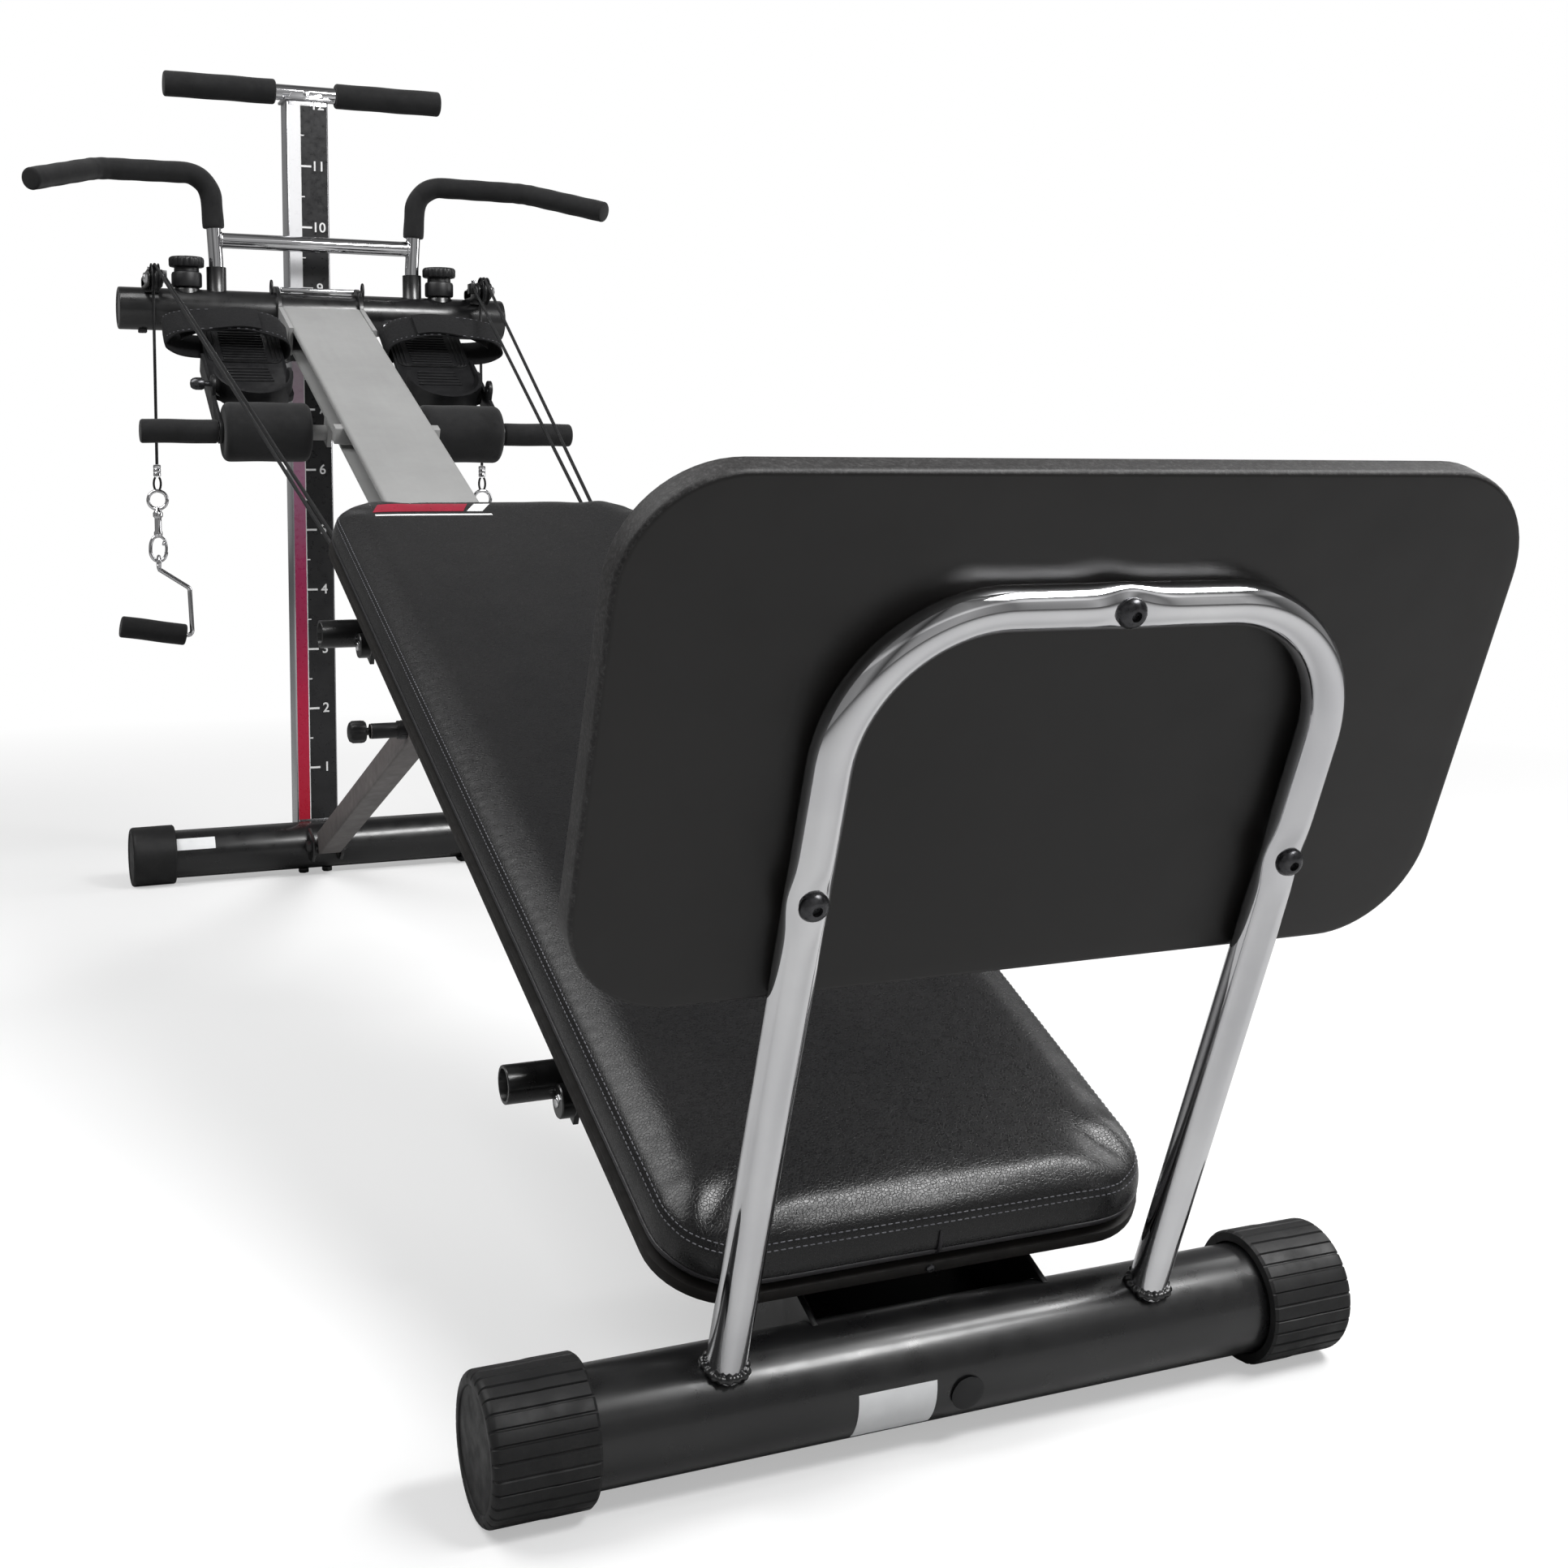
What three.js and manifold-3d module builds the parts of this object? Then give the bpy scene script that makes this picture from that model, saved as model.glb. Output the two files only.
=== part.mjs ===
// Incline glideboard trainer with cable pulleys, squat plate, foot holders, wing bar and pull-up bar.
// Millimetres, +Z up. +X is the user's right when facing the column, +Y points from the squat
// plate to the column. The origin is the middle of the footprint, on the floor.
import * as THREE from "three";
import { mergeVertices } from "three/addons/utils/BufferGeometryUtils.js";
import Module from "manifold-3d";

const wasm = await Module();
wasm.setup();

// ---------- driving dimensions ----------
const GAP = 0.3; // clearance between pieces that rest on each other
const ORIGIN_Y = 992.713; // middle of the footprint, measured from the front stabilizer's axis

const STABILIZER = { radius: 38, wall: 2.5, axisZ: 46, capRadius: 47 };
const FRONT = { half: 318, capLength: 68 };
const REAR = { y: 2108, half: 298, capLength: 66 };

const COLUMN = { y: 2147, width: 67, depth: 52, wall: 2.5, bottom: 50, top: 1252 };
const LEVEL = { pitch: 97.7, restZ: 885, restLevel: 9, count: 12, holeRadius: 5.8 };
const PULLUP = { y: 2139, z: 1266.5, half: 219, radius: 12.7, foam: 20, foamIn: 48, foamOut: 221 };

const CROSSBAR = { y: 2070, z: 907, half: 303.5, radius: 32.5, wall: 2.5 };
const SLEEVE = { bottom: 835, top: 935, clearance: 1, wall: 4 };
const SOCKET = { x: 155, radius: 15, bore: 11.4, top: 975, floor: 941 };
const KNOB = { x: 200, bossTop: 941, bottom: 941.5 };
const PULLEY = { x: 256, y: 2002, z: 948, radius: 22, pitch: 20, groove: 17.2, width: 12, axle: 4 };
const CABLE = { radius: 2.3, dropEnd: 666, spacing: 14.5 };

const WING = { radius: 11, foam: 16.5, barZ: 1017, barRadius: 12, foamStart: 1035 };
const WING_CORNERS = [
  [155, 2070, 943], [155, 2070, 984], [163, 2068, 1119], [333, 2032, 1112], [435, 1921, 1074],
];
const WING_BENDS = [60, 42, 60];

const TILT = 0.4062; // slope of the rail, radians
const RAIL = { originZ: 41.2, half: 61.5, depth: 40, plate: 4, web: 40, start: 46, end: 2209 };
const HINGE = { lugOuter: 67.5, lugRadius: 42, bore: 33, lugStart: 2110 };

const STOP = { lower: 284, upper: 1712.6, length: 16.7, outer: 73, high: -6, low: -30 };

const BOARD = { start: 25, length: 1202, half: 191, corner: 62, bottom: 57, split: 66, top: 111.2 };
const BEAM_AT = { lower: 321, upper: 1072 };
const BEAM = { half: 160, bottom: 31.4, top: 56.4, width: 40, endPlate: 4, endDrop: -12 };
const BOARD_SOCKET = { radius: 15, bore: 12.5, length: 50, height: 11.7 };
const ROLLER = { radius: 15.5, width: 16, x: 51, height: -20, axle: 4, plateIn: 67, plateOut: 71 };

const SQUAT = { lean: 0.383, y: -6.3, radius: 13.4, wall: 2, footX: 159, topX: 165.7, top: 562, bend: 92 };
const PLATE = { width: 596, low: 307, high: 632, thickness: 22, corner: 78, gap: 0.6 };
const SQUAT_BOLT = { sideHeight: 385.5, sideX: 163.6, head: 8.5, shank: 3, hole: 3.4 };

const STRUT = { footY: 2054, footZ: 52, topY: 1108, topZ: 441.6, size: 36, wall: 2, bolt: 6, bore: 6.4 };
const STRUT_LUG = { inner: 20, outer: 25, slotHalf: 9, slotHeight: 11.5 };
const STRUT_PIN = {
  at: 688, radius: 5, tip: -10, sleeveRadius: 10, sleeveEnd: -66, knobIn: -72, knobOut: -94,
};

const FOOT_BAR = { s: 1853, t: -69, radius: 11, half: 309 };
const HEEL_ROLLER = { radius: 42, inner: 80, outer: 200 };
const FOOT_GRIP = { radius: 16.8, inner: 207, outer: 312 };
const PEDAL = { inner: 84, outer: 200, lowY: 1790, lowZ: 750, pitch: 0.6388, length: 244, thickness: 8 };
const HEEL_CUP = { radius: 57, wall: 5, height: 26, at: 50 };
const ARM = { inner: 201, outer: 206, endS: 2050, endT: -38, radius: 17 };
const PEDAL_PIN = { s: 1936, t: -29, radius: 4, boss: 13 };
const STRAP = { at: 170, width: 60, thickness: 3, steps: 36 };
// The strap's loop round the foot plate: sideways place and height over the plate's face.
STRAP.loop = [
  [88, -13], [142, -13], [200, -13], [236, -6], [254, 10], [244, 26], [205, 34], [142, 36], [96, 28], [75, 12],
  [76, -5],
];

const HANDLE = { y: 2022, pivotZ: 648, eyeZ: 612, hookZ: 536, armTop: 505.6, rod: 3.5, grip: 16.5 };
const HANDLE_EYE = { z: 515.6, radius: 10, wire: 2.6 };

// ---------- materials ----------
const material = (name, color, roughness, metalness) => new THREE.MeshStandardMaterial({
  name, color: new THREE.Color(...color), roughness, metalness,
});
const blackSteel = material("black_steel", [0.03, 0.03, 0.032], 0.38, 0.3);
const chrome = material("chrome", [0.78, 0.78, 0.8], 0.08, 1);
const railGrey = material("rail_grey", [0.52, 0.52, 0.52], 0.5, 0.3);
const strutGrey = material("strut_grey", [0.27, 0.25, 0.24], 0.5, 0.3);
const rubber = material("rubber", [0.03, 0.03, 0.03], 0.75, 0);
const foam = material("foam", [0.035, 0.035, 0.037], 0.9, 0);
const vinyl = material("vinyl", [0.025, 0.025, 0.027], 0.45, 0);
const plateBlack = material("plate_black", [0.04, 0.037, 0.036], 0.5, 0);
const plastic = material("black_plastic", [0.03, 0.03, 0.033], 0.5, 0);
const webbing = material("webbing", [0.03, 0.03, 0.032], 0.9, 0);
const plywood = material("plywood", [0.07, 0.06, 0.055], 0.7, 0);
const cableBlack = material("cable_black", [0.03, 0.03, 0.03], 0.45, 0);
const boltSteel = material("bolt_steel", [0.12, 0.12, 0.13], 0.3, 0.9);

// ---------- shape helpers ----------
const box = (x0, x1, y0, y1, z0, z1) => {
  const shape = new THREE.BoxGeometry(x1 - x0, y1 - y0, z1 - z0);
  return shape.translate((x0 + x1) / 2, (y0 + y1) / 2, (z0 + z1) / 2);
};

// A rod or a hollow tube of length x1 - x0, laid along X through (y, z).
const rodX = (radius, x0, x1, y, z, sides = 20) => {
  const shape = new THREE.CylinderGeometry(radius, radius, x1 - x0, sides);
  return shape.rotateZ(Math.PI / 2).translate((x0 + x1) / 2, y, z);
};
const rodY = (radius, y0, y1, x, z, sides = 16) => {
  const shape = new THREE.CylinderGeometry(radius, radius, y1 - y0, sides);
  return shape.translate(x, (y0 + y1) / 2, z);
};
const rodZ = (radius, z0, z1, x, y, sides = 18) => {
  const shape = new THREE.CylinderGeometry(radius, radius, z1 - z0, sides);
  return shape.rotateX(Math.PI / 2).translate(x, y, (z0 + z1) / 2);
};

// A turned shape: [radius, height] points about Z. A profile off the axis closes on itself.
const turned = (points, sides = 20) => {
  const onAxis = points[0][0] === 0;
  const profile = onAxis ? points : [...points, points[0]];
  const shape = new THREE.LatheGeometry(profile.map(([r, h]) => new THREE.Vector2(r, h)), sides);
  return shape.rotateX(Math.PI / 2);
};
const sleeveX = (outer, inner, x0, x1, y, z, sides = 20) => {
  const length = x1 - x0;
  const shape = turned([[inner, 0], [outer, 0], [outer, length], [inner, length]], sides);
  return shape.rotateY(Math.PI / 2).translate(x0, y, z);
};

const outline = (points) => new THREE.Shape(points.map(([a, b]) => new THREE.Vector2(a, b)));
const circle = (radius, a = 0, b = 0) => {
  const shape = new THREE.Shape();
  shape.absarc(a, b, radius, 0, Math.PI * 2);
  return shape;
};
const roundedRect = (a0, a1, b0, b1, radius) => {
  const shape = new THREE.Shape();
  shape.absarc(a1 - radius, b0 + radius, radius, -Math.PI / 2, 0);
  shape.absarc(a1 - radius, b1 - radius, radius, 0, Math.PI / 2);
  shape.absarc(a0 + radius, b1 - radius, radius, Math.PI / 2, Math.PI);
  shape.absarc(a0 + radius, b0 + radius, radius, Math.PI, Math.PI * 1.5);
  shape.closePath();
  return shape;
};

// Prisms of an outline. prismX reads it in (y, z), prismY in (x, z) and prismZ in (x, y).
const prismZ = (shape, z0, z1, segments = 6) => {
  const options = { depth: z1 - z0, bevelEnabled: false, curveSegments: segments };
  return new THREE.ExtrudeGeometry(shape, options).translate(0, 0, z0);
};
const prismX = (shape, x0, x1, segments = 6) => {
  const solid = prismZ(shape, x0, x1, segments);
  const turn = new THREE.Matrix4().makeBasis(
    new THREE.Vector3(0, 1, 0), new THREE.Vector3(0, 0, 1), new THREE.Vector3(1, 0, 0));
  return solid.applyMatrix4(turn);
};
const prismY = (shape, y0, y1, segments = 6) => {
  const solid = prismZ(shape, -y1, -y0, segments);
  const turn = new THREE.Matrix4().makeBasis(
    new THREE.Vector3(1, 0, 0), new THREE.Vector3(0, 0, 1), new THREE.Vector3(0, -1, 0));
  return solid.applyMatrix4(turn);
};

// Straight runs joined by round bends. Its stations are the ends of the runs and a few per bend,
// so a straight run costs one step.
class BentPath extends THREE.Curve {
  constructor(corners, bends, stepsPerBend = 6) {
    super();
    const points = corners.map((corner) => new THREE.Vector3(...corner));
    this.stations = [];
    const station = (point, direction) => this.stations.push({ point, direction });
    const heading = (i) => points[i + 1].clone().sub(points[i]).normalize();
    station(points[0], heading(0));
    for (let i = 1; i < points.length - 1; i++) {
      const before = heading(i - 1);
      const after = heading(i);
      const turn = before.angleTo(after);
      const radius = Array.isArray(bends) ? bends[i - 1] : bends;
      const inset = radius * Math.tan(turn / 2);
      const axis = before.clone().cross(after).normalize();
      const start = points[i].clone().addScaledVector(before, -inset);
      const centre = start.clone().addScaledVector(axis.clone().cross(before), radius);
      for (let step = 0; step <= stepsPerBend; step++) {
        const angle = (turn * step) / stepsPerBend;
        const point = start.clone().sub(centre).applyAxisAngle(axis, angle).add(centre);
        station(point, before.clone().applyAxisAngle(axis, angle));
      }
    }
    station(points.at(-1), heading(points.length - 2));
    this.steps = this.stations.length - 1;
  }

  getPoint(t, target = new THREE.Vector3()) {
    const place = Math.min(Math.max(t, 0), 1) * this.steps;
    const index = Math.min(Math.floor(place + 1e-9), this.steps - 1);
    return target.copy(this.stations[index].point).lerp(this.stations[index + 1].point, place - index);
  }

  getPointAt(t, target) {
    return this.getPoint(t, target);
  }

  getTangentAt(t, target = new THREE.Vector3()) {
    return target.copy(this.stations[Math.round(t * this.steps)].direction);
  }

  getSpacedPoints() {
    return this.stations.map((one) => one.point.clone());
  }
}

const bentTube = (path, radius, bore = 0, sides = 16) => {
  const section = new THREE.Shape();
  const ring = (size) => Array.from({ length: sides }, (_, i) => {
    const angle = (Math.PI * 2 * i) / sides;
    return new THREE.Vector2(size * Math.cos(angle), size * Math.sin(angle));
  });
  section.setFromPoints(ring(radius));
  if (bore > 0) {
    section.holes.push(new THREE.Path(ring(bore)));
  }
  return new THREE.ExtrudeGeometry(section, { steps: path.steps, extrudePath: path, curveSegments: 1 });
};

// Joins and cuts.
const toSolid = (geometry) => {
  const bare = geometry.clone();
  bare.deleteAttribute("normal");
  bare.deleteAttribute("uv");
  const merged = mergeVertices(bare, 1e-4);
  const mesh = new wasm.Mesh({
    numProp: 3,
    vertProperties: new Float32Array(merged.attributes.position.array),
    triVerts: new Uint32Array(merged.index.array),
  });
  return new wasm.Manifold(mesh);
};
const toGeometry = (solid) => {
  const mesh = solid.getMesh();
  const geometry = new THREE.BufferGeometry();
  geometry.setAttribute("position", new THREE.BufferAttribute(mesh.vertProperties, 3));
  geometry.setIndex(new THREE.BufferAttribute(mesh.triVerts, 1));
  geometry.computeVertexNormals();
  return geometry;
};
const join = (...shapes) => toGeometry(shapes.map(toSolid).reduce((sum, one) => sum.add(one)));
const cut = (shape, ...tools) => {
  const rest = tools.map(toSolid).reduce((left, tool) => left.subtract(tool), toSolid(shape));
  return toGeometry(rest);
};
const mirrored = (geometry) => toGeometry(toSolid(geometry).mirror([1, 0, 0]));

// ---------- the tree ----------
const group = new THREE.Group();
const base = new THREE.Group();
base.position.y = -ORIGIN_Y;
group.add(base);
// In the rail's own frame +Y runs up the rail and Z is the height over its top face.
const rail = new THREE.Group();
rail.position.z = RAIL.originZ;
rail.rotation.x = TILT;
base.add(rail);

const put = (parent, name, geometry, look) => {
  const mesh = new THREE.Mesh(geometry, look);
  mesh.name = name;
  parent.add(mesh);
  return mesh;
};
// A piece on the right at +X and its mirror image on the left.
const putPair = (parent, name, geometry, look) => {
  put(parent, `${name}_right`, geometry, look);
  put(parent, `${name}_left`, mirrored(geometry), look);
};

// A world point (y, z), measured from the front stabilizer, in the rail's frame.
const onRail = (y, z) => {
  const rise = z - RAIL.originZ;
  return [
    y * Math.cos(TILT) + rise * Math.sin(TILT),
    -y * Math.sin(TILT) + rise * Math.cos(TILT),
  ];
};

// ---------- stabilizers and their end caps ----------
const stabilizerTube = (half, y) => {
  const end = half - 6 - GAP;
  return sleeveX(STABILIZER.radius, STABILIZER.radius - STABILIZER.wall, -end, end, y, STABILIZER.axisZ, 28);
};

const fluted = (radius, ribs, depth) => {
  const points = [];
  for (let i = 0; i < ribs * 2; i++) {
    const angle = (Math.PI * (i + 0.5)) / ribs;
    const size = i % 2 ? radius - depth : radius;
    points.push([size * Math.cos(angle), size * Math.sin(angle)]);
  }
  return outline(points);
};

const endCap = (half, length, y, ribs) => {
  const body = ribs > 0 ? fluted(STABILIZER.capRadius, ribs, 1.1) : circle(STABILIZER.capRadius);
  const whole = prismX(body, half - length, half - 1.5, 12);
  const rim = prismX(circle(STABILIZER.capRadius - 2), half - 1.6, half, 12);
  const bore = rodX(STABILIZER.radius + GAP, half - length - 1, half - 6, 0, 0, 32);
  const dish = rodX(STABILIZER.capRadius - 9, half - 1.2, half + 1, 0, 0, 20);
  const low = -STABILIZER.axisZ;
  const floor = box(half - length - 1, half + 1, -60, 60, low - 20, low);
  return cut(join(whole, rim), bore, dish, floor).translate(0, y, STABILIZER.axisZ);
};

const buildStabilizers = () => {
  put(base, "front_stabilizer", stabilizerTube(FRONT.half, 0), blackSteel);
  putPair(base, "front_cap", endCap(FRONT.half, FRONT.capLength, 0, 28), rubber);

  const lugFace = outline([[2036, 40], [2050, 28], [2078, 28], [2078, 78], [2052, 70], [2036, 62]]);
  const lug = (x) => prismX(lugFace, x, x + 5);
  const bolt = rodX(STRUT.bolt, -32, 32, STRUT.footY, STRUT.footZ, 16);
  const heads = [-35, 31].map((x) => rodX(9, x, x + 4, STRUT.footY, STRUT.footZ, 6));
  const tube = stabilizerTube(REAR.half, REAR.y);
  const hollow = rodX(STABILIZER.radius - STABILIZER.wall, -280, 280, REAR.y, STABILIZER.axisZ, 32);
  const foot = cut(join(lug(STRUT_LUG.inner), lug(-STRUT_LUG.outer), bolt, ...heads), hollow);
  put(base, "rear_stabilizer", join(tube, foot), blackSteel);
  putPair(base, "rear_cap", endCap(REAR.half, REAR.capLength, REAR.y, 0), rubber);
};

// ---------- column, level holes and pull-up bar ----------
const buildColumn = () => {
  const halfW = COLUMN.width / 2;
  const halfD = COLUMN.depth / 2;
  const section = roundedRect(-halfW, halfW, COLUMN.y - halfD, COLUMN.y + halfD, 5);
  const inner = roundedRect(-halfW + COLUMN.wall, halfW - COLUMN.wall,
    COLUMN.y - halfD + COLUMN.wall, COLUMN.y + halfD - COLUMN.wall, 3);
  section.holes.push(new THREE.Path(inner.getPoints(3)));
  const post = prismZ(section, COLUMN.bottom, COLUMN.top, 3);
  const saddle = rodX(STABILIZER.radius + GAP, -60, 60, REAR.y, STABILIZER.axisZ, 32);
  const holes = Array.from({ length: LEVEL.count }, (_, i) => {
    const z = LEVEL.restZ + LEVEL.pitch * (i + 1 - LEVEL.restLevel);
    return rodY(LEVEL.holeRadius, COLUMN.y + 10, COLUMN.y + halfD + 5, 0, z, 8);
  });
  put(base, "tower_column", cut(post, saddle, ...holes), chrome);

  const bar = sleeveX(PULLUP.radius, PULLUP.radius - 2, -PULLUP.half, PULLUP.half, PULLUP.y, PULLUP.z, 20);
  const lid = box(-37, 37, 2117, 2177, COLUMN.top + GAP, COLUMN.top + 5);
  const cradle = box(-30, 30, 2124, 2154, COLUMN.top + 4, PULLUP.z - 2);
  const bore = rodX(PULLUP.radius - 2, -60, 60, PULLUP.y, PULLUP.z, 20);
  put(base, "pullup_bar", join(bar, cut(join(lid, cradle), bore)), chrome);
  putPair(base, "pullup_grip",
    sleeveX(PULLUP.foam, PULLUP.radius + GAP, PULLUP.foamIn, PULLUP.foamOut, PULLUP.y, PULLUP.z, 20), foam);
};

// ---------- carriage on the column ----------
const buildCarriage = () => {
  const inX = COLUMN.width / 2 + SLEEVE.clearance;
  const inY = COLUMN.depth / 2 + SLEEVE.clearance;
  const outX = inX + SLEEVE.wall;
  const outY = inY + SLEEVE.wall;
  const ring = roundedRect(-outX, outX, COLUMN.y - outY, COLUMN.y + outY, 7);
  ring.holes.push(new THREE.Path(
    roundedRect(-inX, inX, COLUMN.y - inY, COLUMN.y + inY, 4).getPoints(3)));
  const sleeve = prismZ(ring, SLEEVE.bottom, SLEEVE.top, 3);
  const back = COLUMN.y + outY;
  const housing = rodY(10, back - 2, back + 11, 0, LEVEL.restZ, 20);
  const block = box(-36, 36, CROSSBAR.y + 20, COLUMN.y - inY - 1, CROSSBAR.z - 26, CROSSBAR.z + 26);
  const saddle = rodX(CROSSBAR.radius + GAP, -60, 60, CROSSBAR.y, CROSSBAR.z, 32);
  const pinHole = rodY(5.4, COLUMN.y + 10, back + 30, 0, LEVEL.restZ, 20);
  put(base, "carriage_sleeve", cut(join(sleeve, housing, block), saddle, pinHole), blackSteel);

  // Drawn pulled out, with its tip just clear of the column.
  const tip = COLUMN.y + COLUMN.depth / 2 + GAP;
  const pull = turned([
    [0, tip], [3.5, tip], [5, tip + 3], [5, back + 19], [14, back + 19], [16, back + 22],
    [16, back + 40], [13, back + 43], [0, back + 43],
  ], 14);
  put(base, "carriage_pin", pull.rotateX(-Math.PI / 2).translate(0, 0, LEVEL.restZ), plastic);

  const half = CROSSBAR.half;
  const bore = CROSSBAR.radius - CROSSBAR.wall;
  const tube = turned([
    [2, 0], [CROSSBAR.radius, 0], [CROSSBAR.radius, 2 * half], [2, 2 * half],
    [2, 2 * half - 4], [bore, 2 * half - 4], [bore, 4], [2, 4],
  ], 28).rotateY(Math.PI / 2).translate(-half, CROSSBAR.y, CROSSBAR.z);
  const posts = [];
  const bores = [];
  for (const side of [-1, 1]) {
    posts.push(rodZ(SOCKET.radius, CROSSBAR.z + 30.5, SOCKET.top, side * SOCKET.x, CROSSBAR.y, 20));
    posts.push(rodZ(19, CROSSBAR.z + 30.5, KNOB.bossTop, side * KNOB.x, CROSSBAR.y, 20));
    bores.push(rodZ(SOCKET.bore, SOCKET.floor, SOCKET.top + 5, side * SOCKET.x, CROSSBAR.y, 20));
  }
  put(base, "crossbar", cut(join(tube, ...posts), ...bores), blackSteel);

  const knob = turned([
    [0, 0], [22, 0], [23, 3], [23, 22], [19, 26], [19, 31], [26, 33], [27, 36], [27, 44], [25, 48], [0, 49],
  ], 20);
  putPair(base, "knob", knob.translate(KNOB.x, CROSSBAR.y, KNOB.bottom), plastic);
};

// ---------- crossbar pulleys and cables ----------
const buildPulleys = () => {
  const { x, y, z } = PULLEY;
  const cheek = (x0) => {
    const front = prismX(circle(13, y, z), x0, x0 + 3, 8);
    const link = prismX(outline([[y, z - 13], [2062, 934], [2066, 956], [y, z + 13]]), x0, x0 + 3);
    return join(front, link);
  };
  const block = box(x - 11, x + 11, 2044, 2078, 930, 955);
  const anchor = box(x - 19, x - 10, 2010, 2030, z - 3, z + 13);
  const axle = rodX(PULLEY.axle, x - 11.8, x + 13, y, z, 16);
  const nut = rodZ(7, 954, 962, x, 2064, 6);
  const saddle = rodX(CROSSBAR.radius + GAP, x - 40, x + 40, CROSSBAR.y, CROSSBAR.z, 32);
  const bracket = cut(join(cheek(x - 11), cheek(x + 8), block, anchor, axle, nut), saddle);
  putPair(base, "pulley_bracket", bracket, blackSteel);

  const half = PULLEY.width / 2;
  const wheel = turned([
    [PULLEY.axle + 0.4, -half], [PULLEY.radius, -half], [PULLEY.radius, -half + 1.5], [PULLEY.groove, -2.6],
    [PULLEY.groove, 2.6], [PULLEY.radius, half - 1.5], [PULLEY.radius, half], [PULLEY.axle + 0.4, half],
  ], 20).rotateY(Math.PI / 2).translate(x, y, z);
  putPair(base, "pulley_wheel", wheel, plastic);

  // The cable leaves the anchor, turns round its lug on the board and comes back over the wheel.
  const lugS = BEAM_AT.upper + 37;
  const lugT = 28;
  const lugY = lugS * Math.cos(TILT) - lugT * Math.sin(TILT);
  const lugZ = RAIL.originZ + lugS * Math.sin(TILT) + lugT * Math.cos(TILT);
  const slope = Math.atan2(z - lugZ, y - lugY);
  const tangentY = y - PULLEY.pitch * Math.sin(slope);
  const tangentZ = z + PULLEY.pitch * Math.cos(slope);
  const innerX = x - CABLE.spacing;
  const run = new BentPath([
    [innerX, 2008.5, z + 5], [146, lugY, lugZ], [155, lugY - 1, lugZ],
    [x, tangentY - GAP, tangentZ - GAP / 2],
  ], 4, 4);
  putPair(base, "cable_run", bentTube(run, CABLE.radius, 0, 8), cableBlack);

  const corner = PULLEY.pitch * Math.tan((Math.PI / 2 + slope) / 2);
  const reach = [Math.cos(slope) * corner, Math.sin(slope) * corner];
  const drop = new BentPath([
    [x, tangentY + GAP, tangentZ + GAP / 2],
    [x, tangentY + reach[0], tangentZ + reach[1]],
    [x, y + PULLEY.pitch, CABLE.dropEnd + GAP],
  ], PULLEY.pitch - 0.4, 8);
  putPair(base, "cable_drop", bentTube(drop, CABLE.radius, 0, 8), cableBlack);
};

// ---------- hanging handles ----------
const buildHandles = () => {
  const { y, pivotZ, eyeZ, hookZ, armTop } = HANDLE;
  const x = PULLEY.x;
  const loop = (z, radius, wire, stretch) => {
    const ring = new THREE.TorusGeometry(radius, wire, 6, 14);
    return ring.rotateX(Math.PI / 2).scale(1, 1, stretch).translate(x, y, z);
  };
  const ferrule = rodZ(5.6, pivotZ, CABLE.dropEnd, x, y, 16);
  const eyelet = rodZ(3.4, eyeZ + 12, pivotZ + 1, x, y, 12);
  const neck = rodZ(5.2, 552, eyeZ - 10, x, y, 14);
  const snap = join(ferrule, eyelet, loop(eyeZ, 14, 3, 1), neck, loop(hookZ, 12, 2.6, 1.45));
  putPair(base, "snap_hook", snap, chrome);

  const gripEnd = [x - 48, y, armTop - 104];
  const gripRun = [104, 17];
  const arm = new BentPath([
    [x, y, armTop], [x - 45, y, armTop - 30], gripEnd, [gripEnd[0] + gripRun[0], y, gripEnd[2] + gripRun[1]],
  ], 7, 4);
  const eye = new THREE.TorusGeometry(HANDLE_EYE.radius, HANDLE_EYE.wire, 6, 12);
  eye.rotateY(Math.PI / 2).translate(x, y, HANDLE_EYE.z);
  putPair(base, "handle_arm", join(bentTube(arm, HANDLE.rod, 0, 8), eye), chrome);

  const lean = Math.atan2(gripRun[1], gripRun[0]);
  const sleeve = sleeveX(HANDLE.grip, HANDLE.rod + GAP, 10, 108, 0, 0, 18);
  putPair(base, "handle_grip", sleeve.rotateY(-lean).translate(...gripEnd), foam);
};

// ---------- wing bar ----------
const buildWingBar = () => {
  const path = new BentPath(WING_CORNERS, WING_BENDS, 4);
  const side = bentTube(path, WING.radius, 0, 14);
  const other = mirrored(side);
  const reach = 150;
  const bar = sleeveX(WING.barRadius, WING.barRadius - 1.6, -reach, reach, CROSSBAR.y - 1, WING.barZ, 16);
  put(base, "wing_bar", join(side, other, bar), chrome);

  const [, foot, corner] = WING_CORNERS;
  const share = (WING.foamStart - foot[2]) / (corner[2] - foot[2]);
  const start = foot.map((value, i) => value + (corner[i] - value) * share);
  const grip = new BentPath([start, ...WING_CORNERS.slice(2)], WING_BENDS.slice(1), 4);
  putPair(base, "wing_grip", bentTube(grip, WING.foam, WING.radius + GAP, 14), foam);
};

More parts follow.
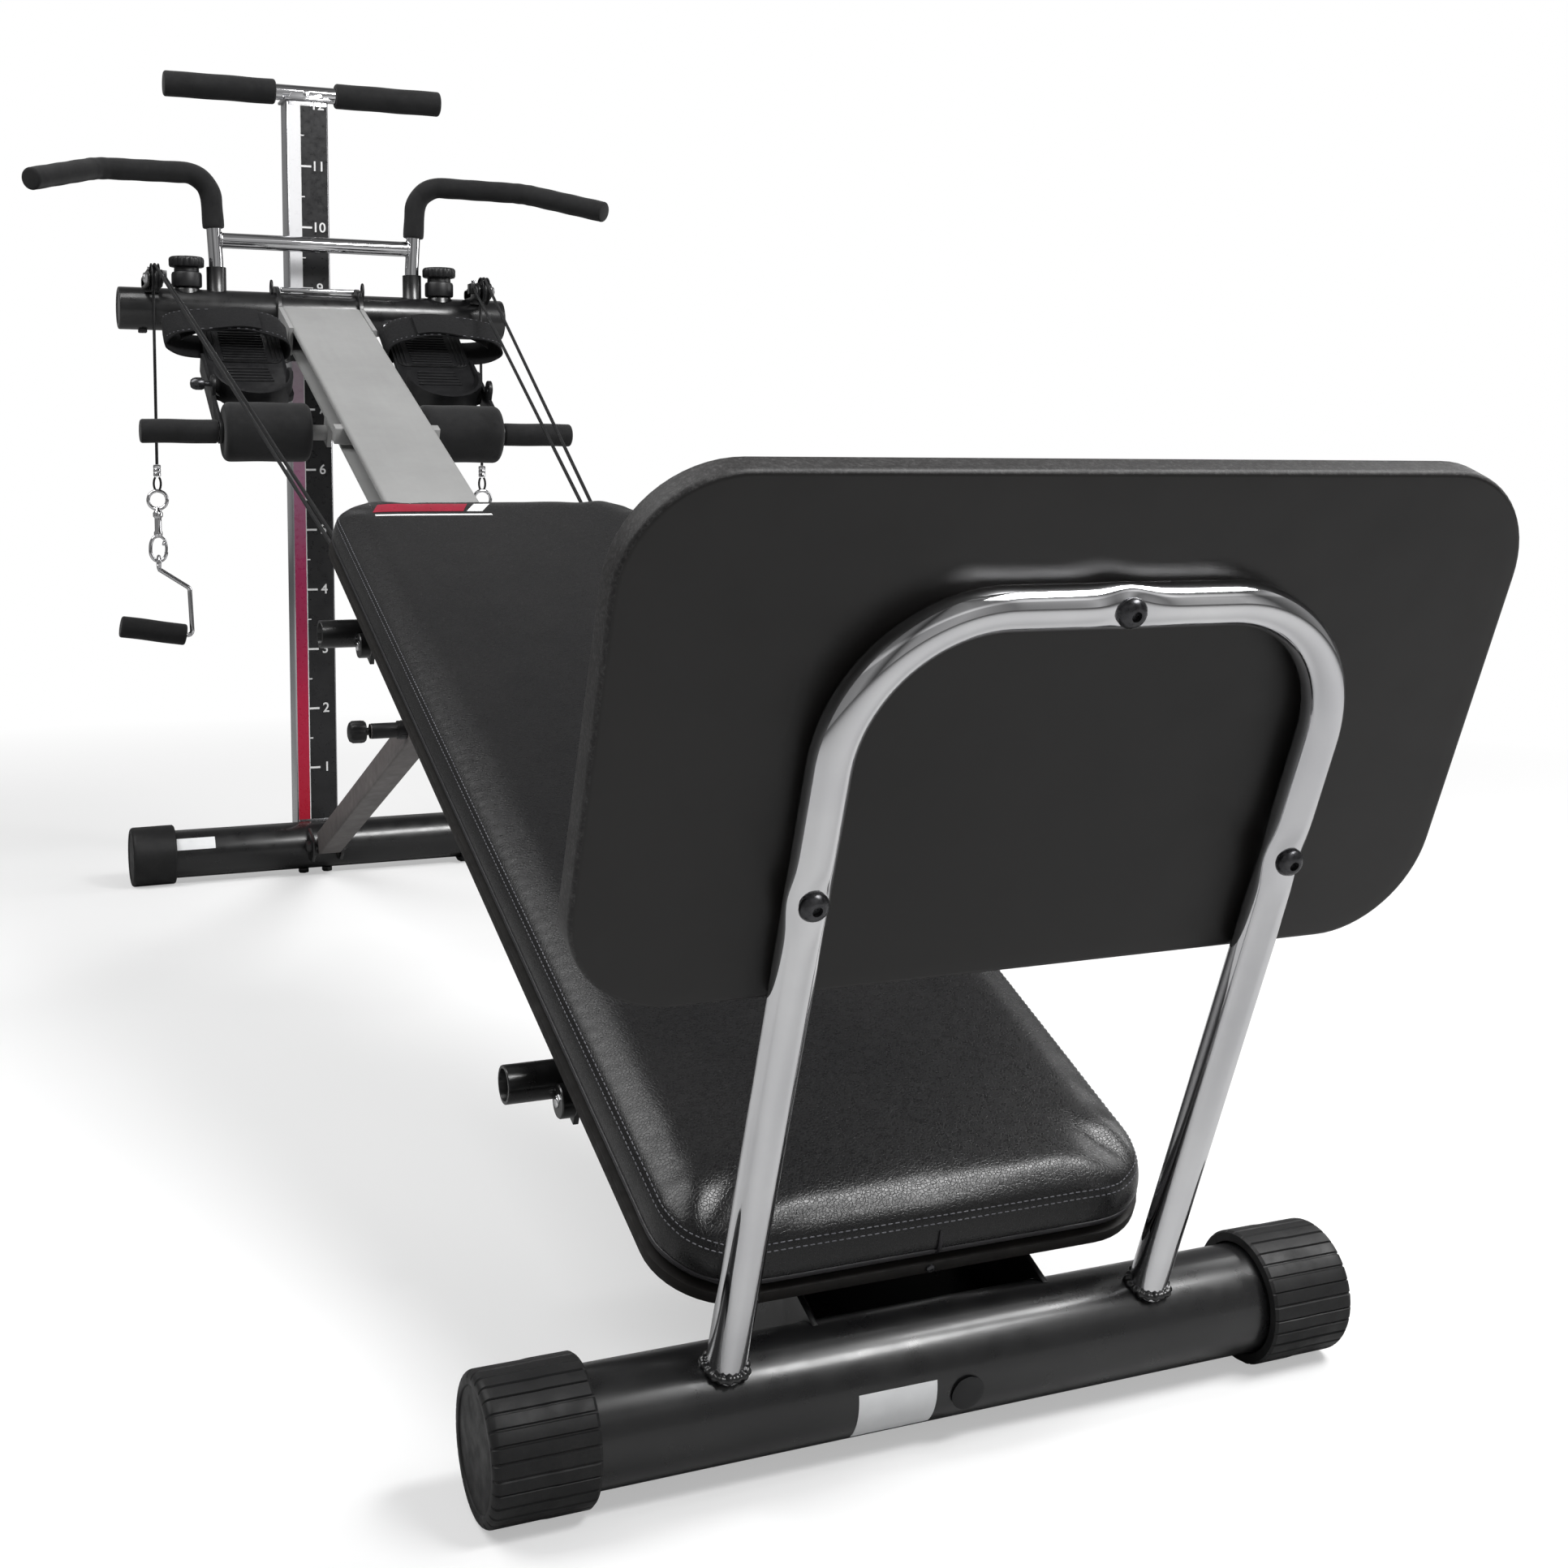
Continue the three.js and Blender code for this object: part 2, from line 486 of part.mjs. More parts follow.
// ---------- squat frame and plate ----------
const buildSquatStand = () => {
  const lift = (x, height, out = 0) => [
    x,
    SQUAT.y - height * Math.sin(SQUAT.lean) - out * Math.cos(SQUAT.lean),
    STABILIZER.axisZ + height * Math.cos(SQUAT.lean) - out * Math.sin(SQUAT.lean),
  ];
  const path = new BentPath([
    lift(-SQUAT.footX, 15), lift(-SQUAT.topX, SQUAT.top), lift(SQUAT.topX, SQUAT.top), lift(SQUAT.footX, 15),
  ], SQUAT.bend, 6);
  const hoop = bentTube(path, SQUAT.radius, SQUAT.radius - SQUAT.wall, 14);
  const seat = rodX(STABILIZER.radius + GAP, -260, 260, 0, STABILIZER.axisZ, 32);

  const place = (geometry, x, height) => {
    const turn = geometry.rotateX(Math.PI / 2 + SQUAT.lean);
    return turn.translate(...lift(x, height));
  };
  const bolts = {
    left: [-SQUAT_BOLT.sideX, SQUAT_BOLT.sideHeight],
    right: [SQUAT_BOLT.sideX, SQUAT_BOLT.sideHeight],
    top: [0, SQUAT.top],
  };
  const holes = Object.values(bolts).map(([x, height]) => (
    place(rodZ(SQUAT_BOLT.hole, -60, 60, 0, 0, 10), x, height)));
  put(base, "squat_frame", cut(hoop, seat, ...holes), chrome);

  const halfW = PLATE.width / 2;
  const face = roundedRect(-halfW, halfW, PLATE.low, PLATE.high, PLATE.corner);
  const panel = prismZ(face, 0, PLATE.thickness, 8);
  const near = SQUAT.radius + PLATE.gap;
  panel.rotateX(Math.PI / 2).rotateZ(Math.PI).translate(0, near, 0);
  panel.rotateX(SQUAT.lean).translate(0, SQUAT.y, STABILIZER.axisZ);
  put(base, "squat_plate", cut(panel, ...holes), plateBlack);

  for (const [name, [x, height]] of Object.entries(bolts)) {
    const under = SQUAT.radius + GAP;
    const bolt = turned([
      [0, -near - PLATE.thickness + 4], [SQUAT_BOLT.shank, -near - PLATE.thickness + 4],
      [SQUAT_BOLT.shank, under], [SQUAT_BOLT.head, under], [SQUAT_BOLT.head, under + 2],
      [SQUAT_BOLT.head * 0.6, under + 5], [0, under + 5.5],
    ], 14);
    put(base, `squat_bolt_${name}`, place(bolt, x, height), boltSteel);
  }
};

// ---------- rail, its hinge lugs and brackets, in the rail's frame ----------
const buildRail = () => {
  const { half, depth, plate, web } = RAIL;
  const section = outline([
    [-half, 0], [-half, -plate], [-web, -plate], [-web, plate - depth], [-half, plate - depth], [-half, -depth],
    [half, -depth], [half, plate - depth], [web, plate - depth], [web, -plate], [half, -plate], [half, 0],
  ]);
  const wall = 3;
  section.holes.push(new THREE.Path(
    roundedRect(-web + wall, web - wall, plate - depth - 1, 1 - plate, 2).getPoints(2)));
  const beam = prismY(section, RAIL.start, RAIL.end);
  const [hingeS, hingeT] = onRail(CROSSBAR.y, CROSSBAR.z);
  const lugs = [];
  for (const side of [-1, 1]) {
    const [x0, x1] = [side * (half - 1), side * HINGE.lugOuter].sort((a, b) => a - b);
    lugs.push(box(x0, x1, HINGE.lugStart, hingeS, -depth - 4, 0));
    lugs.push(rodX(HINGE.lugRadius, x0, x1, hingeS, hingeT, 24));
    const [stop0, stop1] = [side * (web - 1), side * STOP.outer].sort((a, b) => a - b);
    for (const at of [STOP.lower, STOP.upper]) {
      lugs.push(box(stop0, stop1, at, at + STOP.length, STOP.low, STOP.high));
    }
  }
  const bore = rodX(HINGE.bore, -80, 80, hingeS, hingeT, 32);
  const clip = box(-HINGE.lugOuter + 7, HINGE.lugOuter - 7, RAIL.end, RAIL.end + 90, -90, 40);
  put(rail, "rail_beam", cut(join(beam, ...lugs), bore, clip), railGrey);

  // Channel that carries the rail's lower end on the front stabilizer.
  const side = (x) => prismX(
    outline([[12, -30], [44, -46], [170, -46], [170, -8], [78, 40], [10, 40]]), x, x + 4);
  const floor = box(-90, 90, 44, 170, -50, -46 + 0.5);
  const [stabS, stabT] = onRail(0, STABILIZER.axisZ);
  const tube = rodX(STABILIZER.radius + GAP, -100, 100, stabS, stabT, 32);
  const packing = box(-86.5, 86.5, 60, 160, -46, -40 - GAP);
  put(rail, "front_bracket", cut(join(side(86), side(-90), floor, packing), tube), blackSteel);

  // Lugs for the top of the strut. Their slots give the pivot its play.
  const [topS, topT] = onRail(STRUT.topY, STRUT.topZ);
  const cheek = (x) => prismX(roundedRect(topS - 26, topS + 26, topT - 22, -depth - GAP, 8), x, x + 5, 4);
  const slot = prismX(roundedRect(topS - STRUT_LUG.slotHalf, topS + STRUT_LUG.slotHalf,
    topT - STRUT_LUG.slotHeight - 6, topT + STRUT_LUG.slotHeight + 6, 8), -40, 40, 5);
  const bridge = box(-STRUT_LUG.outer, STRUT_LUG.outer, topS - 26, topS + 26, -depth - 4, -depth - GAP);
  put(rail, "strut_bracket", cut(join(cheek(STRUT_LUG.inner), cheek(-STRUT_LUG.outer), bridge), slot), blackSteel);
};

// ---------- strut between the column's foot and the rail ----------
const buildStrut = () => {
  const frame = new THREE.Group();
  frame.position.set(0, STRUT.footY, STRUT.footZ);
  const run = STRUT.footY - STRUT.topY;
  const rise = STRUT.topZ - STRUT.footZ;
  frame.rotation.x = -Math.atan2(rise, run);
  base.add(frame);
  const length = Math.hypot(run, rise);
  const half = STRUT.size / 2;
  const wall = half - STRUT.wall;
  // Local -Y runs up the strut.
  const section = roundedRect(-half, half, -half, half, 3);
  section.holes.push(new THREE.Path(roundedRect(-wall, wall, -wall, wall, 1.5).getPoints(2)));
  const tube = prismY(section, -length + 26, -24, 3);
  const plugs = [
    box(-wall - 0.5, wall + 0.5, -40, -20, -12, 12),
    box(-wall - 0.5, wall + 0.5, -length + 22, -length + 40, -12, 12),
    box(-14, 14, -22, 0, -12, 12),
    box(-14, 14, -length, -length + 24, -12, 12),
    rodX(13, -14, 14, 0, 0, 12),
    rodX(13, -14, 14, -length, 0, 12),
    rodX(STRUT.bolt, -31, 31, -length, 0, 12),
  ];
  const guide = rodX(STRUT_PIN.sleeveRadius, STRUT_PIN.sleeveEnd, -half + 0.5, -STRUT_PIN.at, 0, 14);
  const boltHole = rodX(STRUT.bore, -20, 20, 0, 0, 20);
  const pinHole = rodX(STRUT_PIN.radius + 0.4, STRUT_PIN.sleeveEnd - 5, 4, -STRUT_PIN.at, 0, 16);
  put(frame, "strut", cut(join(tube, ...plugs, guide), boltHole, pinHole), strutGrey);

  const pin = turned([
    [0, 0], [4, 0], [5, 2], [5, STRUT_PIN.tip - STRUT_PIN.knobIn], [13, STRUT_PIN.tip - STRUT_PIN.knobIn],
    [14.5, STRUT_PIN.tip - STRUT_PIN.knobIn + 3], [14.5, STRUT_PIN.tip - STRUT_PIN.knobOut - 3],
    [11, STRUT_PIN.tip - STRUT_PIN.knobOut], [0, STRUT_PIN.tip - STRUT_PIN.knobOut],
  ], 14);
  put(frame, "strut_pin", pin.rotateY(-Math.PI / 2).translate(STRUT_PIN.tip, -STRUT_PIN.at, 0), plastic);
};

// ---------- foot holders below the rail's upper end ----------
const buildFootHolders = () => {
  const { s, t } = FOOT_BAR;
  const bar = sleeveX(FOOT_BAR.radius, FOOT_BAR.radius - 2, -FOOT_BAR.half, FOOT_BAR.half, s, t, 16);
  const hanger = box(-56, 56, s - 16, s + 16, -RAIL.depth - 5, -RAIL.depth - GAP);
  const legs = [-56, 50].map((x) => box(x, x + 6, s - 16, s + 16, t - 16, -RAIL.depth - 4));
  const bore = rodX(FOOT_BAR.radius - 2, -80, 80, s, t, 16);
  put(rail, "foot_bar", join(bar, cut(join(hanger, ...legs), bore)), railGrey);

  const tube = (radius, inner, outer, sides) => sleeveX(radius, FOOT_BAR.radius + GAP, inner, outer, s, t, sides);
  putPair(rail, "heel_roller", tube(HEEL_ROLLER.radius, HEEL_ROLLER.inner, HEEL_ROLLER.outer, 28), foam);
  putPair(rail, "foot_grip", tube(FOOT_GRIP.radius, FOOT_GRIP.inner, FOOT_GRIP.outer, 20), foam);

  // Pedals: local +Y runs up the foot plate, local +Z is out of its face.
  const [lowS, lowT] = onRail(PEDAL.lowY, PEDAL.lowZ);
  const pitch = PEDAL.pitch - TILT;
  const toRail = (geometry) => geometry.rotateX(pitch).translate(0, lowS, lowT);
  const middle = (PEDAL.inner + PEDAL.outer) / 2;
  const sole = prismZ(roundedRect(PEDAL.inner, PEDAL.outer, 20, PEDAL.length, 14), -PEDAL.thickness, 0, 5);
  const heel = prismZ(circle(HEEL_CUP.radius, middle, HEEL_CUP.at), -PEDAL.thickness, HEEL_CUP.height, 12);
  const hollow = prismZ(circle(HEEL_CUP.radius - HEEL_CUP.wall, middle, HEEL_CUP.at), 0, 60, 12);
  const open = box(PEDAL.inner - 10, PEDAL.outer + 10, HEEL_CUP.at + 12, 320, 0.001, 80);
  const plate = toRail(cut(join(sole, heel), hollow, open));
  const arm = join(
    prismX(circle(ARM.radius, s, t), ARM.inner, ARM.outer, 10),
    prismX(outline([[s, t - 17], [ARM.endS, ARM.endT - 14], [ARM.endS, ARM.endT + 14], [s, t + 17]]),
      ARM.inner, ARM.outer),
    prismX(circle(PEDAL_PIN.boss, PEDAL_PIN.s, PEDAL_PIN.t), ARM.inner, ARM.outer, 8),
    box(ARM.inner, ARM.outer, PEDAL_PIN.s - 12, PEDAL_PIN.s + 12, -60, PEDAL_PIN.t),
    box(PEDAL.outer - 30, ARM.outer, 2010, 2040, -46, -40),
  );
  const barHole = rodX(FOOT_BAR.radius + GAP, 190, 220, s, t, 16);
  const pinHole = rodX(PEDAL_PIN.radius + 0.4, 190, 220, PEDAL_PIN.s, PEDAL_PIN.t, 12);
  putPair(rail, "pedal", join(plate, cut(arm, barHole, pinHole)), plastic);

  const loop = new THREE.CatmullRomCurve3(
    STRAP.loop.map(([x, height]) => new THREE.Vector3(x, height, 0)), true, "centripetal");
  const side = (offset) => Array.from({ length: STRAP.steps }, (_, i) => {
    const along = loop.getTangentAt(i / STRAP.steps);
    const point = loop.getPointAt(i / STRAP.steps);
    return new THREE.Vector2(point.x + along.y * offset, point.y - along.x * offset);
  });
  const band = new THREE.Shape(side(STRAP.thickness / 2));
  band.holes.push(new THREE.Path(side(-STRAP.thickness / 2)));
  const strap = prismY(band, STRAP.at - STRAP.width / 2, STRAP.at + STRAP.width / 2);
  putPair(rail, "pedal_strap", toRail(strap), webbing);

  const pull = turned([
    [0, 0], [PEDAL_PIN.radius, 0], [PEDAL_PIN.radius, 14], [8, 14], [9, 17], [9, 26], [6, 32], [0, 34],
  ], 14);
  const { s: pinS, t: pinT } = PEDAL_PIN;
  put(rail, "pedal_pin", pull.rotateY(-Math.PI / 2).translate(-ARM.inner - GAP, pinS, pinT), boltSteel);
};

// ---------- glideboard ----------
const buildBoard = () => {
  const end = BOARD.start + BOARD.length;
  const deck = roundedRect(-BOARD.half + 4, BOARD.half - 4, BOARD.start + 4, end - 4, BOARD.corner - 4);
  put(rail, "board_base", prismZ(deck, BOARD.bottom, BOARD.split, 8), plywood);

  const bevel = 9;
  const cushion = roundedRect(-BOARD.half + bevel, BOARD.half - bevel, BOARD.start + bevel, end - bevel,
    BOARD.corner - bevel);
  const low = BOARD.split + GAP;
  const pad = new THREE.ExtrudeGeometry(cushion, {
    depth: BOARD.top - low - 2 * bevel,
    bevelThickness: bevel, bevelSize: bevel, bevelSegments: 2, curveSegments: 6,
  }).translate(0, 0, low + bevel);
  put(rail, "pad", pad, vinyl);

  for (const [name, s] of Object.entries(BEAM_AT)) {
    const halfW = BEAM.width / 2;
    const pieces = [box(-BEAM.half, BEAM.half, s - halfW, s + halfW, BEAM.bottom, BEAM.top)];
    const holes = [];
    for (const side of [-1, 1]) {
      const span = (a, b) => [side * a, side * b].sort((p, q) => p - q);
      const [p0, p1] = span(BEAM.half - 0.5, BEAM.half + BEAM.endPlate);
      pieces.push(box(p0, p1, s - 28, s + 28, BEAM.endDrop, BEAM.top));
      const [s0, s1] = span(BEAM.half + 2, BEAM.half + BEAM.endPlate + BOARD_SOCKET.length);
      pieces.push(rodX(BOARD_SOCKET.radius, s0, s1, s, BOARD_SOCKET.height, 20));
      const [h0, h1] = span(BEAM.half + BEAM.endPlate, BEAM.half + BEAM.endPlate + BOARD_SOCKET.length + 5);
      holes.push(rodX(BOARD_SOCKET.bore, h0, h1, s, BOARD_SOCKET.height, 20));
      const [r0, r1] = span(ROLLER.plateIn, ROLLER.plateOut);
      pieces.push(box(r0, r1, s - halfW, s + halfW, ROLLER.height - 16, BEAM.bottom + 1));
      const [a0, a1] = span(ROLLER.x - 9, ROLLER.plateOut + 5);
      pieces.push(rodX(ROLLER.axle, a0, a1, s, ROLLER.height, 14));
      if (name === "upper") {
        const [l0, l1] = span(140, BEAM.half);
        pieces.push(box(l0, l1, s + 18, s + 32, 22, 34));
      }
    }
    put(rail, `board_beam_${name}`, cut(join(...pieces), ...holes), blackSteel);
    const wheel = sleeveX(ROLLER.radius, ROLLER.axle + 0.4, ROLLER.x - ROLLER.width / 2,
      ROLLER.x + ROLLER.width / 2, s, ROLLER.height, 24);
    putPair(rail, `roller_${name}`, wheel, plastic);
  }
};

buildStabilizers();
buildColumn();
buildCarriage();
buildPulleys();
buildHandles();
buildWingBar();
buildSquatStand();
buildRail();
buildStrut();
buildFootHolders();
buildBoard();

export default group;
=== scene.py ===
"""Visual model of the incline glideboard trainer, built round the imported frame."""
import math
import random

import bmesh
import bpy
from mathutils import Matrix, Vector
from mathutils.bvhtree import BVHTree

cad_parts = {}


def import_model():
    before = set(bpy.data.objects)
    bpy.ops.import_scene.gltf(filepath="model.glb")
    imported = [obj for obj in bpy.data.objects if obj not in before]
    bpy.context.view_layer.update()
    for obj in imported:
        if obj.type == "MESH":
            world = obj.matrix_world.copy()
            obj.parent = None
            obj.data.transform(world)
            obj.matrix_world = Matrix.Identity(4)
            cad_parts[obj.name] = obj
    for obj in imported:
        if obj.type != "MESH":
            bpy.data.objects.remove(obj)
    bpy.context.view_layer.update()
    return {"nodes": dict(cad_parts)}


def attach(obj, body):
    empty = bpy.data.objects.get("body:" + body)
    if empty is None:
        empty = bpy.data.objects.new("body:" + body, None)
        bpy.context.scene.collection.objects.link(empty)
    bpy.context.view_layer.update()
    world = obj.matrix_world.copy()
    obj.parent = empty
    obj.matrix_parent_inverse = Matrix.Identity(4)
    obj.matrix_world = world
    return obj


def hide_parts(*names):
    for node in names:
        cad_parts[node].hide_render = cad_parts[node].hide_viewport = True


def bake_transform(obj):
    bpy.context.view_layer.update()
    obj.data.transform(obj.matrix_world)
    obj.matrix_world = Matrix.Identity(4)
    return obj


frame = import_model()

MM = 0.001
ORIGIN_Y = 992.713
TILT = 0.4062
RAIL_Z = 41.2
SIDES = {"right": 1, "left": -1}
random.seed(7)


# ---------- places ----------
def world(x, y, z):
    """A point in millimetres, y from the front stabilizer's axis."""
    return Vector((x * MM, (y - ORIGIN_Y) * MM, z * MM))


def rail(x, s, t):
    """A point in the rail's frame: s up the rail and t over its top face, in millimetres."""
    y = s * math.cos(TILT) - t * math.sin(TILT)
    z = RAIL_Z + s * math.sin(TILT) + t * math.cos(TILT)
    return world(x, y, z)


# ---------- mesh building ----------
def soften(obj, angle=35):
    """Smooth shading with a crisp edge wherever two faces meet at more than the angle."""
    mesh = obj.data
    bm = bmesh.new()
    bm.from_mesh(mesh)
    limit = math.radians(angle)
    for face in bm.faces:
        face.smooth = True
    for edge in bm.edges:
        edge.smooth = len(edge.link_faces) == 2 and edge.calc_face_angle(0) < limit
    bm.to_mesh(mesh)
    bm.free()
    return obj


def new_object(name, verts, faces, angle=35):
    mesh = bpy.data.meshes.new(name)
    mesh.from_pydata([tuple(v) for v in verts], [], faces)
    bm = bmesh.new()
    bm.from_mesh(mesh)
    bmesh.ops.remove_doubles(bm, verts=bm.verts, dist=1e-6)
    bmesh.ops.dissolve_degenerate(bm, edges=bm.edges, dist=1e-7)
    bmesh.ops.recalc_face_normals(bm, faces=bm.faces)
    bm.to_mesh(mesh)
    bm.free()
    obj = bpy.data.objects.new(name, mesh)
    bpy.context.scene.collection.objects.link(obj)
    return soften(obj, angle)


def skin(name, rings, loop=False, caps=True, angle=35):
    """Quads between closed rings of points."""
    count = len(rings[0])
    verts = [point for ring in rings for point in ring]
    faces = []
    spans = len(rings) if loop else len(rings) - 1
    for i in range(spans):
        a, b = i * count, ((i + 1) % len(rings)) * count
        for j in range(count):
            k = (j + 1) % count
            faces.append((a + j, a + k, b + k, b + j))
    if caps and not loop:
        faces.append(tuple(range(count))[::-1])
        last = (len(rings) - 1) * count
        faces.append(tuple(range(last, last + count)))
    return new_object(name, verts, faces, angle)


def axis_frame(direction):
    """Two unit vectors square to a direction."""
    w = Vector(direction).normalized()
    helper = Vector((0, 0, 1)) if abs(w.z) < 0.9 else Vector((0, 1, 0))
    u = helper.cross(w).normalized()
    return u, w.cross(u), w


def turned(name, profile, origin, direction, steps=48, ripple=None, angle=35):
    """A shape turned about an axis: (radius, height) in millimetres from the origin point."""
    u, v, w = axis_frame(direction)
    rings = []
    for radius, height in profile:
        ring = []
        for i in range(steps):
            turn = 2 * math.pi * i / steps
            r = radius + (ripple(turn, radius, height) if ripple else 0)
            ring.append(origin + (u * math.cos(turn) + v * math.sin(turn)) * r * MM + w * height * MM)
        rings.append(ring)
    ends_open = profile[0] == profile[-1]
    return skin(name, rings[:-1] if ends_open else rings, loop=ends_open, caps=not ends_open, angle=angle)


def rounded_profile(radius, length, edge, start=0.0, steps=4):
    """The profile of a solid rod with rounded ends."""
    points = [(0, start)]
    for i in range(steps + 1):
        a = math.pi / 2 * i / steps
        points.append((radius - edge + edge * math.sin(a), start + edge - edge * math.cos(a)))
    for i in range(steps + 1):
        a = math.pi / 2 * i / steps
        points.append((radius - edge + edge * math.cos(a), start + length - edge + edge * math.sin(a)))
    points.append((0, start + length))
    return points


def sleeve_profile(outer, inner, length, edge, start=0.0, steps=4):
    """The closed profile of a tube with rounded outer rims."""
    points = [(inner, start + edge * 0.4), (inner + 0.5, start)]
    for i in range(steps + 1):
        a = math.pi / 2 * i / steps
        points.append((outer - edge + edge * math.sin(a), start + edge - edge * math.cos(a)))
    for i in range(steps + 1):
        a = math.pi / 2 * i / steps
        points.append((outer - edge + edge * math.cos(a), start + length - edge + edge * math.sin(a)))
    points += [(inner + 0.5, start + length), (inner, start + length - edge * 0.4)]
    return points + points[:1]


def bent(corners, bends, steps=14, run=12.0):
    """Points along straight runs with round bends, millimetres in and out."""
    corners = [Vector(c) for c in corners]
    bends = bends if isinstance(bends, (list, tuple)) else [bends] * (len(corners) - 2)
    points = [corners[0]]
    for i in range(1, len(corners) - 1):
        before = (corners[i] - corners[i - 1]).normalized()
        after = (corners[i + 1] - corners[i]).normalized()
        turn = before.angle(after)
        inset = bends[i - 1] * math.tan(turn / 2)
        axis = before.cross(after).normalized()
        start = corners[i] - before * inset
        centre = start + axis.cross(before) * bends[i - 1]
        points += straight(points[-1], start, run)
        for k in range(steps + 1):
            points.append(centre + Matrix.Rotation(turn * k / steps, 3, axis) @ (start - centre))
    points += straight(points[-1], corners[-1], run)
    points.append(corners[-1])
    return points


def straight(a, b, run):
    count = max(1, int((b - a).length / run))
    return [a.lerp(b, k / count) for k in range(1, count)]


def spokes(u, v, sides):
    """Directions all the way round a ring, from u towards v."""
    for k in range(sides):
        turn = 2 * math.pi * k / sides
        yield u * math.cos(turn) + v * math.sin(turn)


def sweep(name, points, radius, sides=28, squash=None, first=None, caps=True, angle=35):
    """A round bar along world points. squash(i) gives (scale across u, scale across v)."""
    tangents = []
    for i in range(len(points)):
        a = points[max(i - 1, 0)]
        b = points[min(i + 1, len(points) - 1)]
        tangents.append((b - a).normalized())
    u = Vector(first) if first else axis_frame(tangents[0])[0]
    rings = []
    for i, (point, tangent) in enumerate(zip(points, tangents)):
        u = (u - tangent * u.dot(tangent)).normalized()
        v = tangent.cross(u)
        su, sv = squash(i) if squash else (1, 1)
        size = (radius[i] if isinstance(radius, list) else radius) * MM
        rings.append([point + spoke * size for spoke in spokes(u * su, v * sv, sides)])
    return skin(name, rings, caps=caps, angle=angle)


def ring(name, centre, normal, radius, wire, stretch=(1, 1), sides=12, steps=40):
    """A closed wire ring, its two radii in stretch."""
    u, v, w = axis_frame(normal)
    rings = []
    for i in range(steps):
        a = 2 * math.pi * i / steps
        out = u * math.cos(a) * stretch[0] + v * math.sin(a) * stretch[1]
        centre_line = centre + out * radius * MM
        away = (u * math.cos(a) / stretch[0] + v * math.sin(a) / stretch[1]).normalized()
        rings.append([centre_line + spoke * wire * MM for spoke in spokes(away, w, sides)])
    return skin(name, rings, loop=True)


def rounded_rect(a0, a1, b0, b1, radius, steps=8):
    points = []
    for ca, cb, start in ((a1, b0, -90), (a1, b1, 0), (a0, b1, 90), (a0, b0, 180)):
        centre_a = ca - radius if ca == a1 else ca + radius
        centre_b = cb - radius if cb == b1 else cb + radius
        for i in range(steps + 1):
            turn = math.radians(start + 90 * i / steps)
            points.append((centre_a + radius * math.cos(turn), centre_b + radius * math.sin(turn)))
    return points


def slab(name, outline, low, high, place, edge=0.0, steps=3, shrink=None):
    """A prism of a convex-cornered outline with rounded rims; place(a, b, height) gives the point."""
    middle = Vector((sum(p[0] for p in outline), sum(p[1] for p in outline))) / len(outline)
    count = len(outline)

    def inset(amount):
        moved = []
        for i in range(count):
            p = Vector(outline[i])
            before = (p - Vector(outline[i - 1]))
            after = (Vector(outline[(i + 1) % count]) - p)
            side = (before.normalized() + after.normalized())
            if side.length < 1e-6:
                side = before
            normal = Vector((side.y, -side.x)).normalized()
            if normal.dot(p - middle) < 0 and shrink == "convex":
                normal.negate()
            moved.append(p - normal * amount)
        return moved

    levels = []
    if edge > 0:
        for i in range(steps + 1):
            a = math.pi / 2 * i / steps
            levels.append((edge - edge * math.sin(a), low + edge - edge * math.cos(a)))
        for i in range(steps + 1):
            a = math.pi / 2 * i / steps
            levels.append((edge - edge * math.cos(a), high - edge + edge * math.sin(a)))
    else:
        levels = [(0, low), (0, high)]
    rings = [[place(p.x, p.y, h) for p in inset(amount)] for amount, h in levels]
    return skin(name, rings)


def box(name, lo, hi, place=world, edge=0.8):
    outline = rounded_rect(lo[0], hi[0], lo[1], hi[1], edge * 1.2, 2)
    return slab(name, outline, lo[2], hi[2], place, edge, 2)


def merge(name, objects):
    """Several shells of one rigid piece in one object."""
    bm = bmesh.new()
    materials = []
    for obj in objects:
        offset = len(materials)
        materials += list(obj.data.materials)
        start = len(bm.faces)
        bm.from_mesh(obj.data)
        bm.faces.ensure_lookup_table()
        for face in bm.faces[start:]:
            face.material_index += offset
        bpy.data.objects.remove(obj)
    mesh = bpy.data.meshes.new(name)
    bm.to_mesh(mesh)
    bm.free()
    for material in materials:
        mesh.materials.append(material)
    result = bpy.data.objects.new(name, mesh)
    bpy.context.scene.collection.objects.link(result)
    return result


def refined(node, width=1.0, angle=35):
    """A CAD node's shape with its flat faces joined up and its hard edges rounded."""
    source = frame["nodes"][node]
    bm = bmesh.new()
    bm.from_mesh(source.data)
    bmesh.ops.remove_doubles(bm, verts=bm.verts, dist=2e-6)
    bmesh.ops.dissolve_limit(
        bm, angle_limit=math.radians(1.5), verts=bm.verts, edges=bm.edges, use_dissolve_boundaries=False)
    mesh = bpy.data.meshes.new(node + "_shape")
    bm.to_mesh(mesh)
    bm.free()
    obj = bpy.data.objects.new(node + "_shape", mesh)
    bpy.context.scene.collection.objects.link(obj)
    bevel = obj.modifiers.new("edge", "BEVEL")
    bevel.width = width * MM
    bevel.segments = 2
    bevel.limit_method = "ANGLE"
    bevel.angle_limit = math.radians(angle)
    evaluated = obj.evaluated_get(bpy.context.evaluated_depsgraph_get())
    final = bpy.data.meshes.new_from_object(evaluated)
    obj.modifiers.clear()
    obj.data = final
    return soften(obj, angle)


